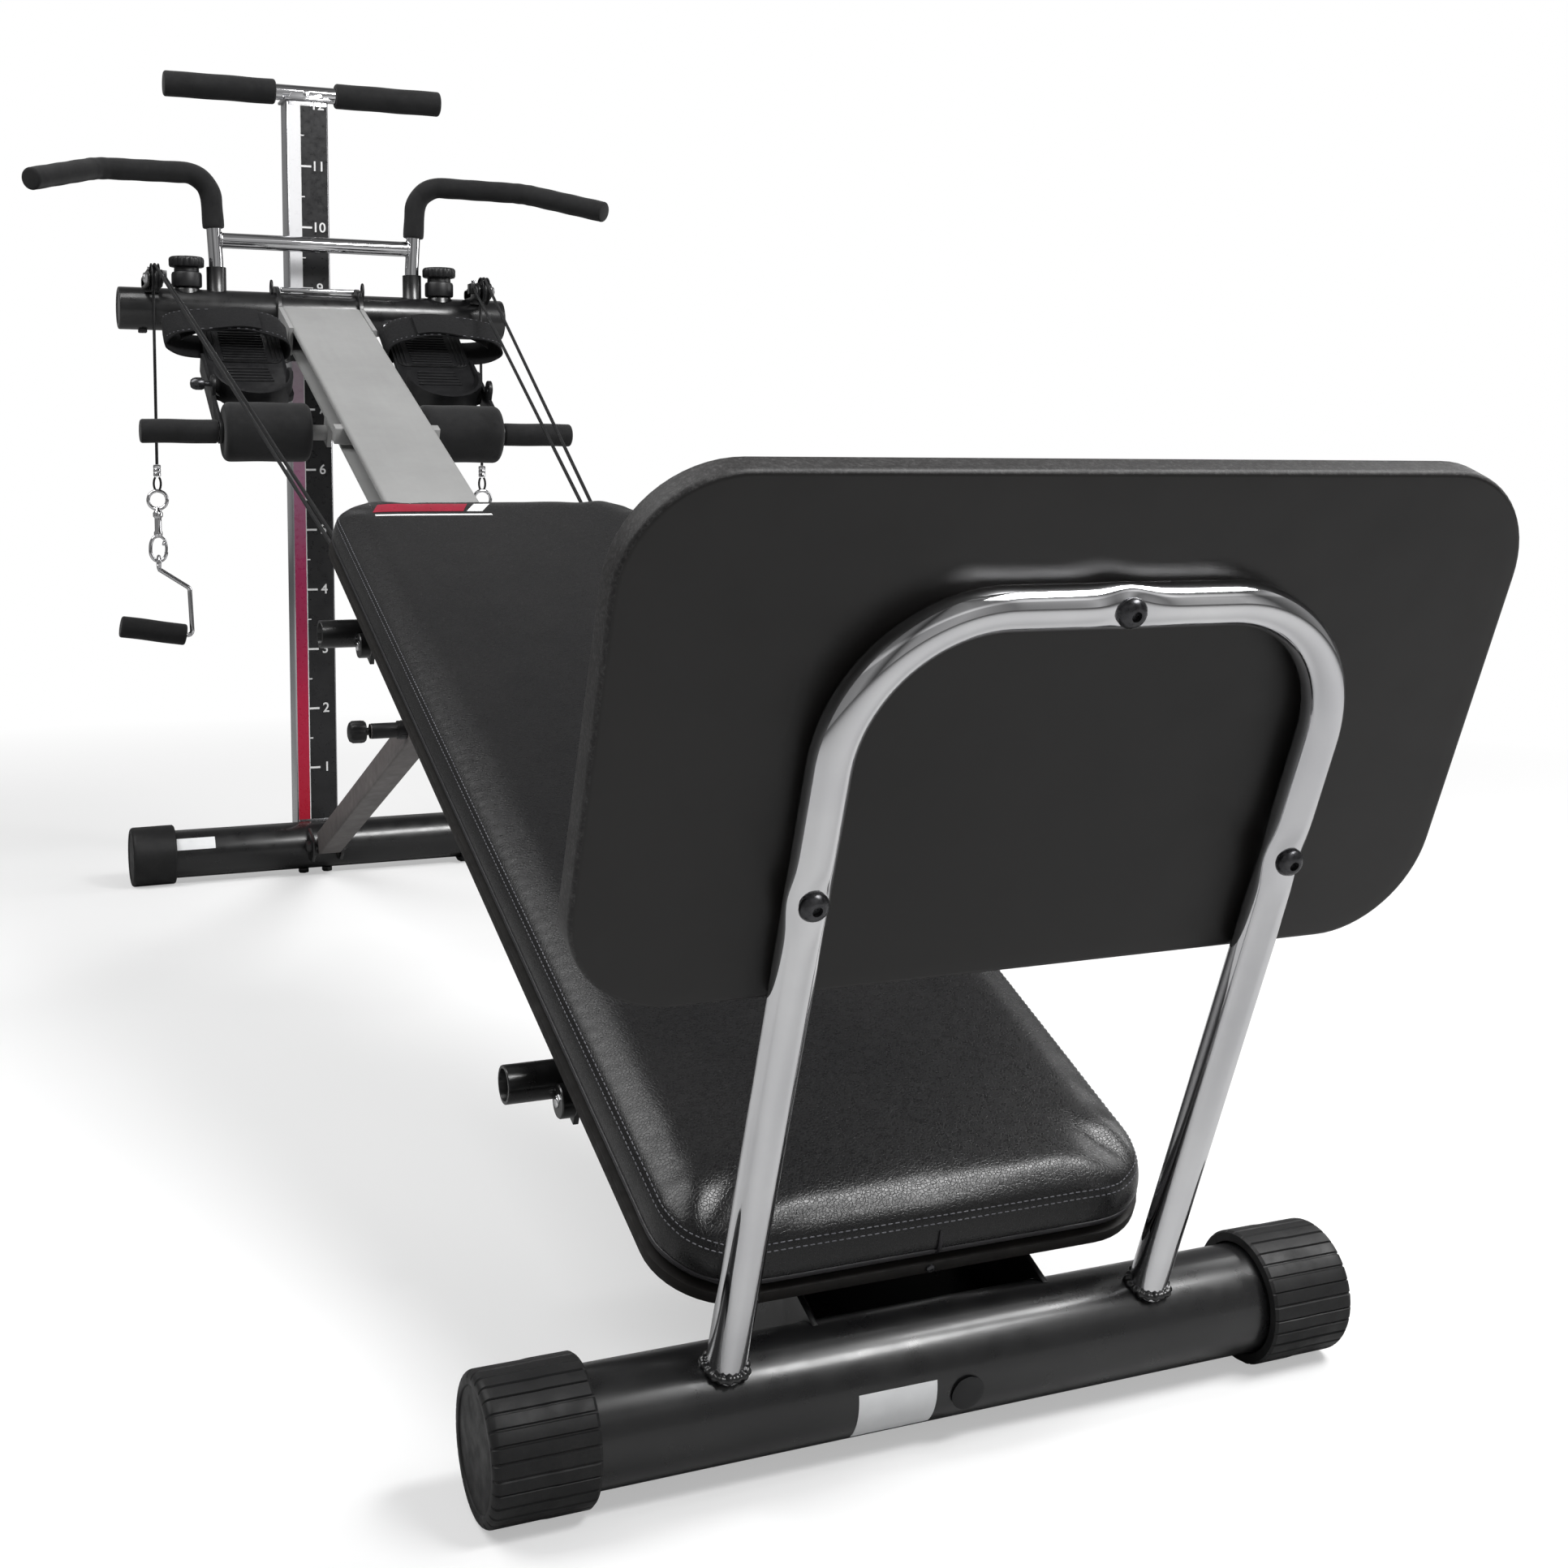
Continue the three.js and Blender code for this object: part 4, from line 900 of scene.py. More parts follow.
def build_squat_stand():
    corners = [leg(-159, 15), leg(-165.7, HOOP_TOP), leg(165.7, HOOP_TOP), leg(159, 15)]
    corners = [c / MM for c in corners]
    path = [p * MM for p in bent(corners, 92, 28, 4.0)]
    dimples = [leg(-SIDE_BOLT_X, SIDE_BOLT_AT), leg(SIDE_BOLT_X, SIDE_BOLT_AT), leg(0, HOOP_TOP)]

    def squash(i):
        near = min((path[i] - d).length for d in dimples) / MM
        amount = 0.30 * math.exp(-((near / 15) ** 2))
        return 1 + amount * 0.28, 1 - amount

    first = LEG_OUT.cross((path[1] - path[0]).normalized())
    hoop = sweep("squat_hoop", path, 13.2, 48, squash, first)
    piece(hoop, "rail", "chrome", "squat_frame")

    near = 13.4 + 0.6
    levels = []
    radius = 4.0
    for i in range(9):
        a = math.pi / 2 * i / 8
        levels.append((radius * (1 - math.sin(a)), near + radius * (1 - math.cos(a))))
    for i in range(9):
        a = math.pi / 2 * i / 8
        levels.append((radius * (1 - math.cos(a)), near + 22 - radius * (1 - math.sin(a))))
    inner = [(60, near), (30, near), (14, near)]
    rings = []
    for amount, depth in inner + levels + [(b, near + 22) for b in (14, 30, 60)]:
        pts = rounded_rect(-298 + amount, 298 - amount, 307 + amount, 637 - amount, max(70 - amount, 6), 16)
        rings.append([leg(a, b, -depth) for a, b in pts])
    board = skin("squat_board", rings)
    edge = board.data.attributes.new("edge", "FLOAT", "POINT")
    plane_inv = Matrix((Vector((1, 0, 0)), LEG_UP, -LEG_OUT)).to_4x4()
    base = leg(0, 0)
    for vert in board.data.vertices:
        local = plane_inv @ (vert.co - base)
        depth = local.z / MM
        inset = rounded_distance(local.x / MM, local.y / MM)
        band = 1.0 if (near + 0.5 < depth < near + 21.5 and inset < radius * 0.9) else 0.0
        edge.data[vert.index].value = band
    piece(board, "rail", "plate_black", "squat_plate")

    for name, x, at in (("left", -SIDE_BOLT_X, SIDE_BOLT_AT), ("right", SIDE_BOLT_X, SIDE_BOLT_AT),
                        ("top", 0, HOOP_TOP)):
        button_bolt(f"squat_screw_{name}", leg(x, at, 9.2), LEG_OUT, "rail", f"squat_bolt_{name}")


def rounded_distance(a, b):
    """Distance inwards from the plate's rounded outline."""
    half_a, half_b, r = 298.0, 165.0, 70.0
    qa, qb = abs(a) - half_a + r, abs(b - 472) - half_b + r
    outside = math.hypot(max(qa, 0), max(qb, 0)) + min(max(qa, qb), 0) - r
    return -outside


def button_bolt(name, seat, out, body, node):
    """A button-head screw with a washer face and a hexagon socket."""
    head = [(0, -22), (3, -22), (3, 0), (9.2, 0), (9.4, 0.8), (8.9, 2.6), (7.6, 4.6), (5.6, 6.0), (4.2, 6.4)]
    shell = turned(name + "_head", head + [(3.2, 6.3), (3.1, 3.2), (0, 3.0)], seat, out, 36)
    return piece(merge(name, [shell]), body, "bolt_steel", node)


# ---------- column ----------
COLUMN_Y = 2147
COLUMN_FRONT = COLUMN_Y - 26
TICK_1, PITCH = 171.2, 97.72


def decal_strip(name, x0, x1, z0, z1, look, lift=0.3):
    obj = slab(name, [(x0, z0), (x1, z0), (x1, z1), (x0, z1)], 0.05, lift,
               lambda a, b, h: world(a, COLUMN_FRONT - h, b), 0)
    return piece(obj, "tower", look)


def numeral(text, x, z, size):
    curve = bpy.data.curves.new(f"level_{text}", "FONT")
    curve.body = text
    curve.size = size * MM
    curve.align_x = "CENTER"
    curve.align_y = "CENTER"
    curve.extrude = 0.12 * MM
    curve.offset = 0.25 * MM
    made = bpy.data.objects.new(f"level_{text}_text", curve)
    bpy.context.scene.collection.objects.link(made)
    bpy.context.view_layer.update()
    mesh = bpy.data.meshes.new_from_object(made.evaluated_get(bpy.context.evaluated_depsgraph_get()))
    bpy.data.objects.remove(made)
    obj = bpy.data.objects.new(f"level_number_{text}", mesh)
    mesh.transform(Matrix.Translation(world(x, COLUMN_FRONT - 0.55, z)) @ Matrix.Rotation(math.pi / 2, 4,
            "X"))
    bpy.context.scene.collection.objects.link(obj)
    return obj


def build_column():
    piece(refined("tower_column", 0.8), "tower", "satin_chrome", "tower_column")
    low, high = 86, 1245
    decal_strip("scale_colour", -31, -12, low, high, "stripe")
    decal_strip("scale_field", -11.4, 31, low, high, "decal_black")
    decal_strip("scale_line", -12.6, -11.2, low, high, "decal_white", 0.36)
    numbers = []
    for k in range(1, 13):
        z = TICK_1 + PITCH * (k - 1)
        numbers.append(slab(f"tick_{k}", [(-12, z - 1.6), (5, z - 1.6), (5, z + 1.6), (-12, z + 1.6)],
                            0.3, 0.6,
                            lambda a, b, h: world(a, COLUMN_FRONT - h, b), 0))
        if k < 12:
            half = z + PITCH / 2
            numbers.append(slab(f"half_tick_{k}", [(-12, half - 0.9), (-6, half - 0.9), (-6, half + 0.9),
                                                   (-12, half + 0.9)],
                                0.3, 0.6, lambda a, b, h: world(a, COLUMN_FRONT - h, b), 0))
        numbers.append(numeral(str(k), 16, z, 22))
    piece(merge("level_numbers", numbers), "tower", "decal_white")

    bar = turned("pullup_tube", sleeve_profile(12.7, 10.7, 438, 0.5), world(-219, 2139, 1266.5),
                 (1, 0, 0), 48)
    lid = box("pullup_lid", (-37, 2117, 1252.4), (37, 2177, 1257), world, 1.4)
    cradle = slab("pullup_cradle", [(-30, 1256), (30, 1256), (24, 1266), (-24, 1266)], 2126, 2152,
                  lambda a, b, h: world(a, h, b), 1.0, 2, "convex")
    screw = turned("pullup_screw", [(0, 0), (5, 0), (5, 1.4), (3.6, 2.8), (0, 3.2)], world(0, 2127, 1266),
                   (0, -1, 0.2), 24)
    piece(merge("pullup_tee", [bar, lid, cradle, screw]), "tower", "chrome", "pullup_bar")
    for n, s in SIDES.items():
        foam_tube(f"pullup_foam_{n}", "tower", f"pullup_grip_{n}", world(s * 48, 2139, 1266.5), (s, 0, 0),
                  20, 173)


def foam_tube(name, body, node, origin, direction, radius, length, bore=13.1, edge=4.0):
    """A foam sleeve with soft rims, a slightly uneven skin and a plugged end."""
    profile = [(bore, edge * 0.3), (bore + 1.0, 0.0)]
    for i in range(6):
        a = math.pi / 2 * i / 5
        profile.append((radius - edge + edge * math.sin(a), edge - edge * math.cos(a)))
    spans = max(6, int(length / 8))
    for i in range(1, spans):
        profile.append((radius, edge + (length - 2 * edge) * i / spans))
    for i in range(6):
        a = math.pi / 2 * i / 5
        profile.append((radius - edge + edge * math.cos(a), length - edge + edge * math.sin(a)))
    profile += [(bore + 1.0, length), (bore * 0.6, length - 1.2), (0, length - 1.0)]

    def uneven(turn, r, height):
        if r < radius - edge:
            return 0
        swell = 0.22 * math.sin(height * 0.09 + 1.7 * math.sin(turn))
        return swell + 0.14 * math.sin(turn * 3 + height * 0.05)

    return piece(turned(name, profile, origin, direction, 56, uneven), body, "foam", node)


# ---------- carriage ----------
BAR_Y, BAR_Z, BAR_R = 2070, 907, 32.5


def build_carriage():
    piece(refined("carriage_sleeve", 1.2), "carriage", "black_steel", "carriage_sleeve")
    profile = [(0, 1.2), (24, 1.2), (25, 0.2), (BAR_R - 2.5, 0), (BAR_R - 0.7, 0.6), (BAR_R, 2.5),
               (BAR_R, 605),
               (BAR_R - 0.7, 606.4), (BAR_R - 2.5, 607), (25, 606.8), (24, 605.8), (0, 605.8)]
    parts = [turned("crossbar_tube", profile, world(-303.5, BAR_Y, BAR_Z), (1, 0, 0), 80)]
    for n, s in SIDES.items():
        socket = [(11.6, 38), (11.6, 67.6), (12.2, 68), (14.4, 68), (15, 67.4), (15, 30), (17.5, 26),
                  (11.6, 26), (11.6, 38)]
        parts.append(turned(f"socket_{n}", socket, world(s * 155, BAR_Y, BAR_Z), (0, 0, 1), 40))
        boss = [(0, 24), (21, 24), (19.5, 31), (19, 33.4), (18.4, 34), (0, 34)]
        parts.append(turned(f"boss_{n}", boss, world(s * 200, BAR_Y, BAR_Z), (0, 0, 1), 40))
        parts.append(hex_head(f"under_nut_{n}", world(s * 268, BAR_Y - 4, BAR_Z - 31.6), (0, 0, -1), 13, 6))
    piece(merge("crossbar_body", parts), "carriage", "black_steel", "crossbar")

    for n, s in SIDES.items():
        build_knob(n, s)
        build_pulley(n, s)
    rod = turned("hinge_rod", rounded_profile(4, 116, 1.5), world(-58, BAR_Y - 9, BAR_Z + 36.5),
                 (1, 0, 0), 28)
    piece(rod, "carriage", "chrome")
    for n, s in SIDES.items():
        loop = [world(s * 72, BAR_Y - 9 + 8 * math.cos(a), BAR_Z + 38 + 12 * math.sin(a))
                for a in [math.radians(d) for d in range(-60, 241, 12)]]
        clip = sweep(f"wire_clip_{n}", loop, 1.7, 10)
        piece(clip, "carriage", "plastic")
    pull = [(0, 0.3), (3.5, 0.3), (5, 3.3), (5, 22), (13.5, 22), (15, 23), (15.4, 26), (15.4, 39),
            (14, 42.5), (11, 44.5), (0, 45)]
    ripple = lambda turn, r, h: (0.7 * math.cos(turn * 12) if r > 12 and h > 23 else 0)
    knob = turned("height_pin", pull, world(0, COLUMN_Y + 26, 885), (0, 1, 0), 96, ripple)
    piece(knob, "carriage_pin", "plastic", "carriage_pin")


def build_knob(n, s):
    """A push-turn knob: plain collar, neck and a scalloped cap with a dished, slotted top."""
    profile = [(0, 0.6), (21, 0.6), (22.6, 1.6), (23, 4), (23, 20), (21.8, 23.2), (19, 24.4), (18.6, 30),
               (20.5, 31.4),
               (25.4, 32), (26.6, 34), (26.8, 43), (26, 45.6), (24, 47.2), (21.5, 47.4), (20.6, 46.4),
               (9, 46.2), (8.4, 48.4), (0, 48.6)]
    ripple = lambda turn, r, h: (1.3 * abs(math.cos(turn * 9)) - 1.2 if r > 24 and h > 31 else 0)
    knob = turned(f"knob_{n}_body", profile, world(s * 200, BAR_Y, BAR_Z + 34.4), (0, 0, 1), 144, ripple)
    ribs = []
    for i in range(12):
        a = 2 * math.pi * i / 12
        centre = world(s * 200 + 15 * math.cos(a), BAR_Y + 15 * math.sin(a), BAR_Z + 34.4 + 46.2)
        out = Vector((math.cos(a), math.sin(a), 0))
        across = Vector((-math.sin(a), math.cos(a), 0))
        ring_low = [centre + out * p * MM + across * q * MM for p,
                    q in ((-4.5, -1), (4.5, -1.4), (4.5, 1.4), (-4.5, 1))]
        ring_high = [p + Vector((0, 0, 1.2 * MM)) for p in ring_low]
        ribs.append(skin(f"knob_rib_{n}_{i}", [ring_low, ring_high]))
    piece(merge(f"knob_{n}_shape", [knob, *ribs]), f"knob_{n}", "plastic", f"knob_{n}")


PULLEY = (256, 2002, 948)


def build_pulley(n, s):
    x, y, z = PULLEY
    parts = [refined(f"pulley_bracket_{n}", 0.7)]
    parts.append(slab(f"strap_{n}", rounded_rect(2038, 2084, 940, 955, 6, 4), x - 11, x + 11,
                      lambda a, b, h: world(s * h, a, b), 1.2, 2))
    piece(merge(f"pulley_yoke_{n}", parts), "carriage", "black_steel", f"pulley_bracket_{n}")
    bolts = [hex_head(f"axle_head_{n}", world(s * (x + 11), y, z), (s, 0, 0), 13, 6),
             hex_head(f"axle_nut_{n}", world(s * (x - 11), y, z), (-s, 0, 0), 13, 2.4),
             hex_head(f"top_nut_{n}", world(s * x, 2062, 955), (0, 0, 1), 13, 8),
             turned(f"top_stud_{n}", rounded_profile(3.6, 16, 1), world(s * x, 2062, 955), (0, 0, 1), 20),
             turned(f"washer_{n}", [(4, 0), (9, 0), (9, 1.5), (4, 1.5), (4, 0)],
                    world(s * x, 2062, 954.6), (0, 0, 1), 32)]
    piece(merge(f"pulley_bolts_{n}", bolts), "carriage", "chrome")
    wheel = [(4.4, -6), (9, -6), (9, -4.4), (19, -4.4), (19.5, -6), (21.6, -6), (22, -5.4), (22, -4.8),
             (18, -2.6), (17.2, -1.6),
             (17.0, 0), (17.2, 1.6), (18, 2.6), (22, 4.8), (22, 5.4), (21.6, 6), (19.5, 6), (19, 4.4),
             (9, 4.4), (9, 6), (4.4, 6), (4.4, -6)]
    piece(turned(f"pulley_{n}_shape", wheel, world(s * x, y, z), (1, 0, 0), 64), f"pulley_{n}", "plastic",
          f"pulley_wheel_{n}")


# ---------- wing bar ----------
def build_wing_bar():
    tubes = []
    for n, s in SIDES.items():
        corners = [(s * 155, 2070, 943), (s * 155, 2070, 984), (s * 163, 2068, 1119),
                   (s * 333, 2032, 1112), (s * 435, 1921, 1074)]
        bends = [60, 42, 60]
        path = [world(*p) for p in bent(corners, bends, 14, 10)]
        path[-1] -= (path[-1] - path[-2]).normalized() * 9 * MM
        tubes.append(sweep(f"wing_tube_{n}", path, 11, 36))
        share = (1035 - 984) / (1119 - 984)
        start = Vector(corners[1]).lerp(Vector(corners[2]), share)
        grip_path = [world(*p) for p in bent([start, *corners[2:]], bends[1:], 14, 6)]
        end = (grip_path[-1] - grip_path[-2]).normalized()
        radii = [16.4 + 0.25 * math.sin(i * 0.9) for i in range(len(grip_path))]
        first = grip_path[0]
        lead = (grip_path[1] - first).normalized()
        grip_path = [first + lead * d * MM for d in (0, 0.4, 1.4, 3.0)] + grip_path[1:-1] + [
            grip_path[-1] - end * d * MM for d in (3.4, 1.6, 0.4, 0)]
        radii = [14.2, 15.4, 16.1, 16.4] + radii[1:-1] + [16.4, 15.8, 14.4, 12.4]
        piece(sweep(f"wing_foam_{n}", grip_path, radii, 40), "carriage", "foam", f"wing_grip_{n}")
    tubes.append(turned("wing_cross", rounded_profile(12, 300, 0.5), world(-150, 2069, 1017), (1, 0, 0), 48))
    for n, s in SIDES.items():
        tubes.append(weld_bead(f"wing_weld_{n}", world(s * 147, 2069, 1017), (1, 0, 0), 12, 1.3))
    piece(merge("wing_frame", tubes), "carriage", "chrome", "wing_bar")


# ---------- cables and handles ----------
def lug_point():
    s, t = 1109, 28
    y = s * math.cos(TILT) - t * math.sin(TILT)
    z = RAIL_Z + s * math.sin(TILT) + t * math.cos(TILT)
    return y, z


def cable(name, points, body, node, **facts):
    tube = sweep(name, points, 2.3, 12)
    dress(tube, "cable")
    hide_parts(node)
    if body == "blend":
        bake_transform(tube)
    else:
        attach(tube, body)
    return tube


def build_cables():
    x, y, z = PULLEY
    lug_y, lug_z = lug_point()
    slope = math.atan2(z - lug_z, y - lug_y)
    tan_y, tan_z = y - 20 * math.sin(slope), z + 20 * math.cos(slope)
    for n, s in SIDES.items():
        run = bent([(s * 241.5, 2008.5, z + 5), (s * 146, lug_y, lug_z), (s * 155, lug_y - 1, lug_z),
                    (s * x, tan_y - 0.3, tan_z - 0.15)], 4, 6, 60)
        cable(f"cable_{n}_run", [world(*p) for p in run], "blend", f"cable_run_{n}", far_end="object",
              lay="taut")
        corner = 20 * math.tan((math.pi / 2 + slope) / 2)
        drop = bent([(s * x, tan_y + 0.3, tan_z + 0.15),
                     (s * x, tan_y + corner * math.cos(slope), tan_z + corner * math.sin(slope)),
                     (s * x, y + 20, 666.3)], 19.6, 12, 20)
        fittings = build_handle(n, s)
        cable(f"cable_{n}_drop", [world(*p) for p in drop], "carriage", f"cable_drop_{n}", far_end="fitting",
              lay="hanging", with_pieces=fittings)


def build_handle(n, s):
    x, y = s * 256, 2022
    crimp = [(0, 0), (4.6, 0), (5.6, 1), (5.6, 5), (5.0, 6), (5.6, 7), (5.6, 11), (5.0, 12), (5.6, 13),
             (5.6, 17), (4.6, 18), (0, 18)]
    ferrule = piece(turned(f"cable_crimp_{n}", crimp, world(x, y, 648), (0, 0, 1), 28), "carriage", "chrome")
    parts = []
    loop = [world(x + 5.2 * math.sin(a), y, 637 - 11.5 * math.cos(a)) for a in
            [math.radians(d) for d in range(-150, 151, 15)]]
    eyelet = sweep(f"cable_eye_{n}", loop, 1.7, 10)
    piece(eyelet, "carriage", "cable")
    parts.append(ring(f"ring_{n}", world(x, y, 612), (0, 1, 0), 14, 2.7))
    parts.append(turned(f"swivel_{n}", [(0, 0), (4, 0), (6.2, 3), (6.6, 8), (5.2, 11), (5.2, 30),
                                        (7.4, 33), (7.4, 38), (4.8, 42), (3, 48), (0, 48)],
                        world(x, y, 554), (0, 0, 1), 32))
    hook = [world(x + px, y, 536 + pz) for px, pz in
            ((0, 21), (-7, 18), (-11, 10), (-12, 0), (-11, -9), (-6.5, -15.5), (0, -17.6), (6.5, -15.5),
             (10.6, -9), (11.4, -4))]
    parts.append(sweep(f"hook_{n}", catmull(hook, 6), 2.7, 14))
    parts.append(sweep(f"gate_{n}", catmull([world(x + 11.2, y, 531), world(x + 11.6, y, 540),
                                             world(x + 9.5, y, 550), world(x + 3.5, y, 556)], 6), 2.1, 12))
    parts.append(turned(f"gate_thumb_{n}", [(0, 0), (3.2, 0), (3.6, 1), (3.2, 3.6), (0, 4)],
                        world(x + 9.5, y, 545), (s, 0, 0.2), 20))
    piece(merge(f"snap_hook_{n}_shape", parts), "carriage", "chrome", f"snap_hook_{n}")

    top = 505.6
    end = Vector((x - s * 48, y, top - 104))
    corners = [Vector((x, y, top)), Vector((x - s * 45, y, top - 30)), end, end + Vector((s * 104, 0, 17))]
    path = [world(*p) for p in bent(corners, 7, 8, 6)]
    flat = sweep(f"stirrup_{n}", path, 3.5, 20)
    eye = ring(f"stirrup_eye_{n}", world(x, y, 515.6), (1, 0, 0), 10, 2.6)
    piece(merge(f"handle_{n}_frame", [flat, eye]), f"handle_{n}", "chrome", f"handle_arm_{n}")
    along = Vector((s * 104, 0, 17)).normalized()
    origin = world(*end) + along * 10 * MM
    foam_tube(f"handle_{n}_foam", f"handle_{n}", f"handle_grip_{n}", origin, along, 16.5, 98, 3.9, 3.5)
    return [ferrule, eyelet]


def catmull(points, steps):
    """A smooth curve through the points."""
    out = []
    padded_points = [points[0] * 2 - points[1], *points, points[-1] * 2 - points[-2]]
    for i in range(1, len(padded_points) - 2):
        p0, p1, p2, p3 = padded_points[i - 1:i + 3]
        for k in range(steps):
            t = k / steps
            out.append(0.5 * ((2 * p1) + (p2 - p0) * t + (2 * p0 - 5 * p1 + 4 * p2 - p3) * t * t
                              + (3 * p1 - p0 - 3 * p2 + p3) * t ** 3))
    out.append(points[-1])
    return out


# ---------- rail ----------
def build_rail():
    half, depth, plate, web = 61.5, 40.0, 4.0, 40.0
    s0, s1 = 46, 2209

    def section():
        """The rail's outline, its outer corners rounded."""
        outline = []
        for a in range(0, 91, 15):
            t = math.radians(a)
            outline.append((half - 5 + 5 * math.sin(t), -5 + 5 * math.cos(t)))
        outline += [(half, -plate - 3), (half - 1.5, -plate - 4.5), (half - 3, -plate - 3),
                    (half - 3.4, -plate), (web, -plate),
                    (web, plate - depth), (half, plate - depth), (half, -depth)]
        return outline + [(-x, t) for x, t in reversed(outline)]

    outline = section()
    rings = [[rail(x, s, t) for x, t in outline] for s in (s0, s0 + 1.5, 400, 800, 1200, 1600, 1900, s1)]
    beam = skin("rail_beam_skin", rings)
    parts, ears = [beam], []
    hinge_y, hinge_z = BAR_Y, BAR_Z
    rise = hinge_z - RAIL_Z
    hs = hinge_y * math.cos(TILT) + rise * math.sin(TILT)
    ht = -hinge_y * math.sin(TILT) + rise * math.cos(TILT)
    for n, s in SIDES.items():
        ear = turned(f"rail_ear_{n}", [(33, 60.6), (41, 60.6), (42, 61.4), (42, 66.6), (41, 67.4),
                                       (33, 67.4), (33, 60.6)],
                     world(0, BAR_Y, BAR_Z), (s, 0, 0), 64)
        ears.append(ear)
        cheek = [(2108, 0), (2108, -44), (hs - 33.5, ht - 24), (hs - 33.5, 0)]
        parts.append(slab(f"rail_cheek_{n}", cheek, 60.6, 67.4, lambda a, b, h: rail(s * h, a, b), 0.8, 2,
                          "convex"))
        for at in (284, 1712.6):
            parts.append(slab(f"stop_{n}_{at}", rounded_rect(at, at + 16.7, -30, -6, 2, 3), 39, 73,
                              lambda a, b, h: rail(s * h, a, b), 0.8, 2))
    piece(merge("rail_beam_body", parts), "rail", "rail_grey", "rail_beam")
    ears.append(slab("rail_toe", rounded_rect(-62.5, 62.5, 43.5, 178, 3, 3), 0.2, 2.0, rail, 0.6, 2))
    ears.append(slab("rail_toe_face", rounded_rect(-61, 61, -39.5, 1.6, 2, 3), 42.2, 45.6,
                     lambda a, b, h: rail(a, h, b), 0.6, 2))
    piece(merge("rail_ends", ears), "rail", "black_steel")
    piece(refined("front_bracket", 1.0), "rail", "black_steel", "front_bracket")
    piece(refined("strut_bracket", 0.8), "rail", "black_steel", "strut_bracket")
    piece(refined("strut", 1.2), "strut", "strut_grey", "strut")
    build_strut_pin()


def build_strut_pin():
    run, rise = 2054 - 1108, 441.6 - 52
    length = math.hypot(run, rise)
    at = 688 / length
    y, z = 2054 - run * at, 52 + rise * at
    profile = [(0, 10), (4, 10), (5, 12), (5, 71), (12.4, 72), (14.3, 74), (14.6, 78), (14.4, 89),
               (12.6, 92.4), (9, 94), (0, 94)]
    ripple = lambda turn, r, h: (0.5 * math.cos(turn * 10) if r > 13 and 74 < h < 91 else 0)
    piece(turned("strut_pin_knob", profile, world(0, y, z), (-1, 0, 0), 80, ripple), "strut_pin",
          "plastic", "strut_pin")
    sleeve = [(5.6, 18.5), (12.2, 18.5), (12.2, 30), (10.2, 31), (10.2, 64), (9.4, 66), (5.6, 66),
              (5.6, 18.5)]
    collar = hex_head("strut_pin_hex", world(-18.3, y, z), (-1, 0, 0), 22, 10)
    tube = turned("strut_pin_sleeve", sleeve, world(0, y, z), (-1, 0, 0), 48)
    piece(merge("strut_pin_guide", [tube, collar]), "strut", "plastic")


# ---------- foot holders ----------
PEDAL_Y, PEDAL_Z, PEDAL_PITCH = 1790, 750, 0.6388


def foot(x, a, h):
    """A point on a foot plate: a up the plate, h out of its face."""
    y = PEDAL_Y + a * math.cos(PEDAL_PITCH) - h * math.sin(PEDAL_PITCH)
    z = PEDAL_Z + a * math.sin(PEDAL_PITCH) + h * math.cos(PEDAL_PITCH)
    return world(x, y, z)


def build_foot_holders():
    bar = turned("foot_bar_tube", sleeve_profile(11, 9, 618, 0.5), rail(-309, 1853, -69), (1, 0, 0), 40)
    hanger = refined("foot_bar", 0.8)
    dress(bar, "rail_grey")
    piece(merge("foot_bar_body", [hanger, bar]), "rail", "rail_grey", "foot_bar")
    for n, s in SIDES.items():
        foam_tube(f"heel_foam_{n}", f"heel_roller_{n}", f"heel_roller_{n}", rail(s * 80, 1853, -69),
                  (s, 0, 0), 42, 120, 11.3, 9)
        foam_tube(f"foot_foam_{n}", "rail", f"foot_grip_{n}", rail(s * 207, 1853, -69), (s, 0, 0), 16.8,
                  105, 11.3, 3.5)
        build_pedal(n, s)
    y, z = rail_yz(1936, -29)
    profile = [(0, 0.4), (4, 0.4), (4, 14), (5, 14.4), (7.6, 15), (9, 18), (9, 26), (8, 30), (5.6, 33),
               (2, 34), (0, 34)]
    knob = turned("holder_pin", profile, world(-201.3, y, z), (-1, 0, 0), 36)
    piece(knob, "pedal_pin", "bolt_steel", "pedal_pin")


def rail_yz(s, t):
    return (s * math.cos(TILT) - t * math.sin(TILT), RAIL_Z + s * math.sin(TILT) + t * math.cos(TILT))


def build_pedal(n, s):
    place = lambda a, b, h: foot(s * a, b, h)
    mid = 142
    parts = [refined(f"pedal_{n}", 0.9)]
    for i, inset in enumerate((3, 9, 15)):
        parts.append(rib_loop(f"pedal_rib_{n}_{i}",
                              rounded_rect(86 + inset, 198 - inset, 112, 242 - inset, 12 - i * 2, 6), place))
    for i in range(13):
        b = 118 + i * 7.2
        parts.append(slab(f"pedal_tread_{n}_{i}", rounded_rect(110, 174, b, b + 3.6, 1.6, 3), -0.2, 1.6,
                          place, 0.7, 2))
    for i in range(5):
        parts.append(slab(f"cup_tread_{n}_{i}", rounded_rect(mid - 34 + i, mid + 34 - i, 62 + i * 8,
                                                             66 + i * 8, 1.8, 3),
                          -0.2, 1.6, place, 0.7, 2))
    piece(merge(f"pedal_{n}_shape", parts), f"pedal_{n}", "plastic", f"pedal_{n}")
    tabs = []
    for x in (88, 196):
        tabs.append(slab(f"tab_{n}_{x}", rounded_rect(x - 3.5, x + 3.5, 204, 226, 2, 4), -0.5, 2.4, place,
                         0.8, 2))
    piece(merge(f"pedal_tabs_{n}", tabs), f"pedal_{n}", "label")
    build_strap(n, s)


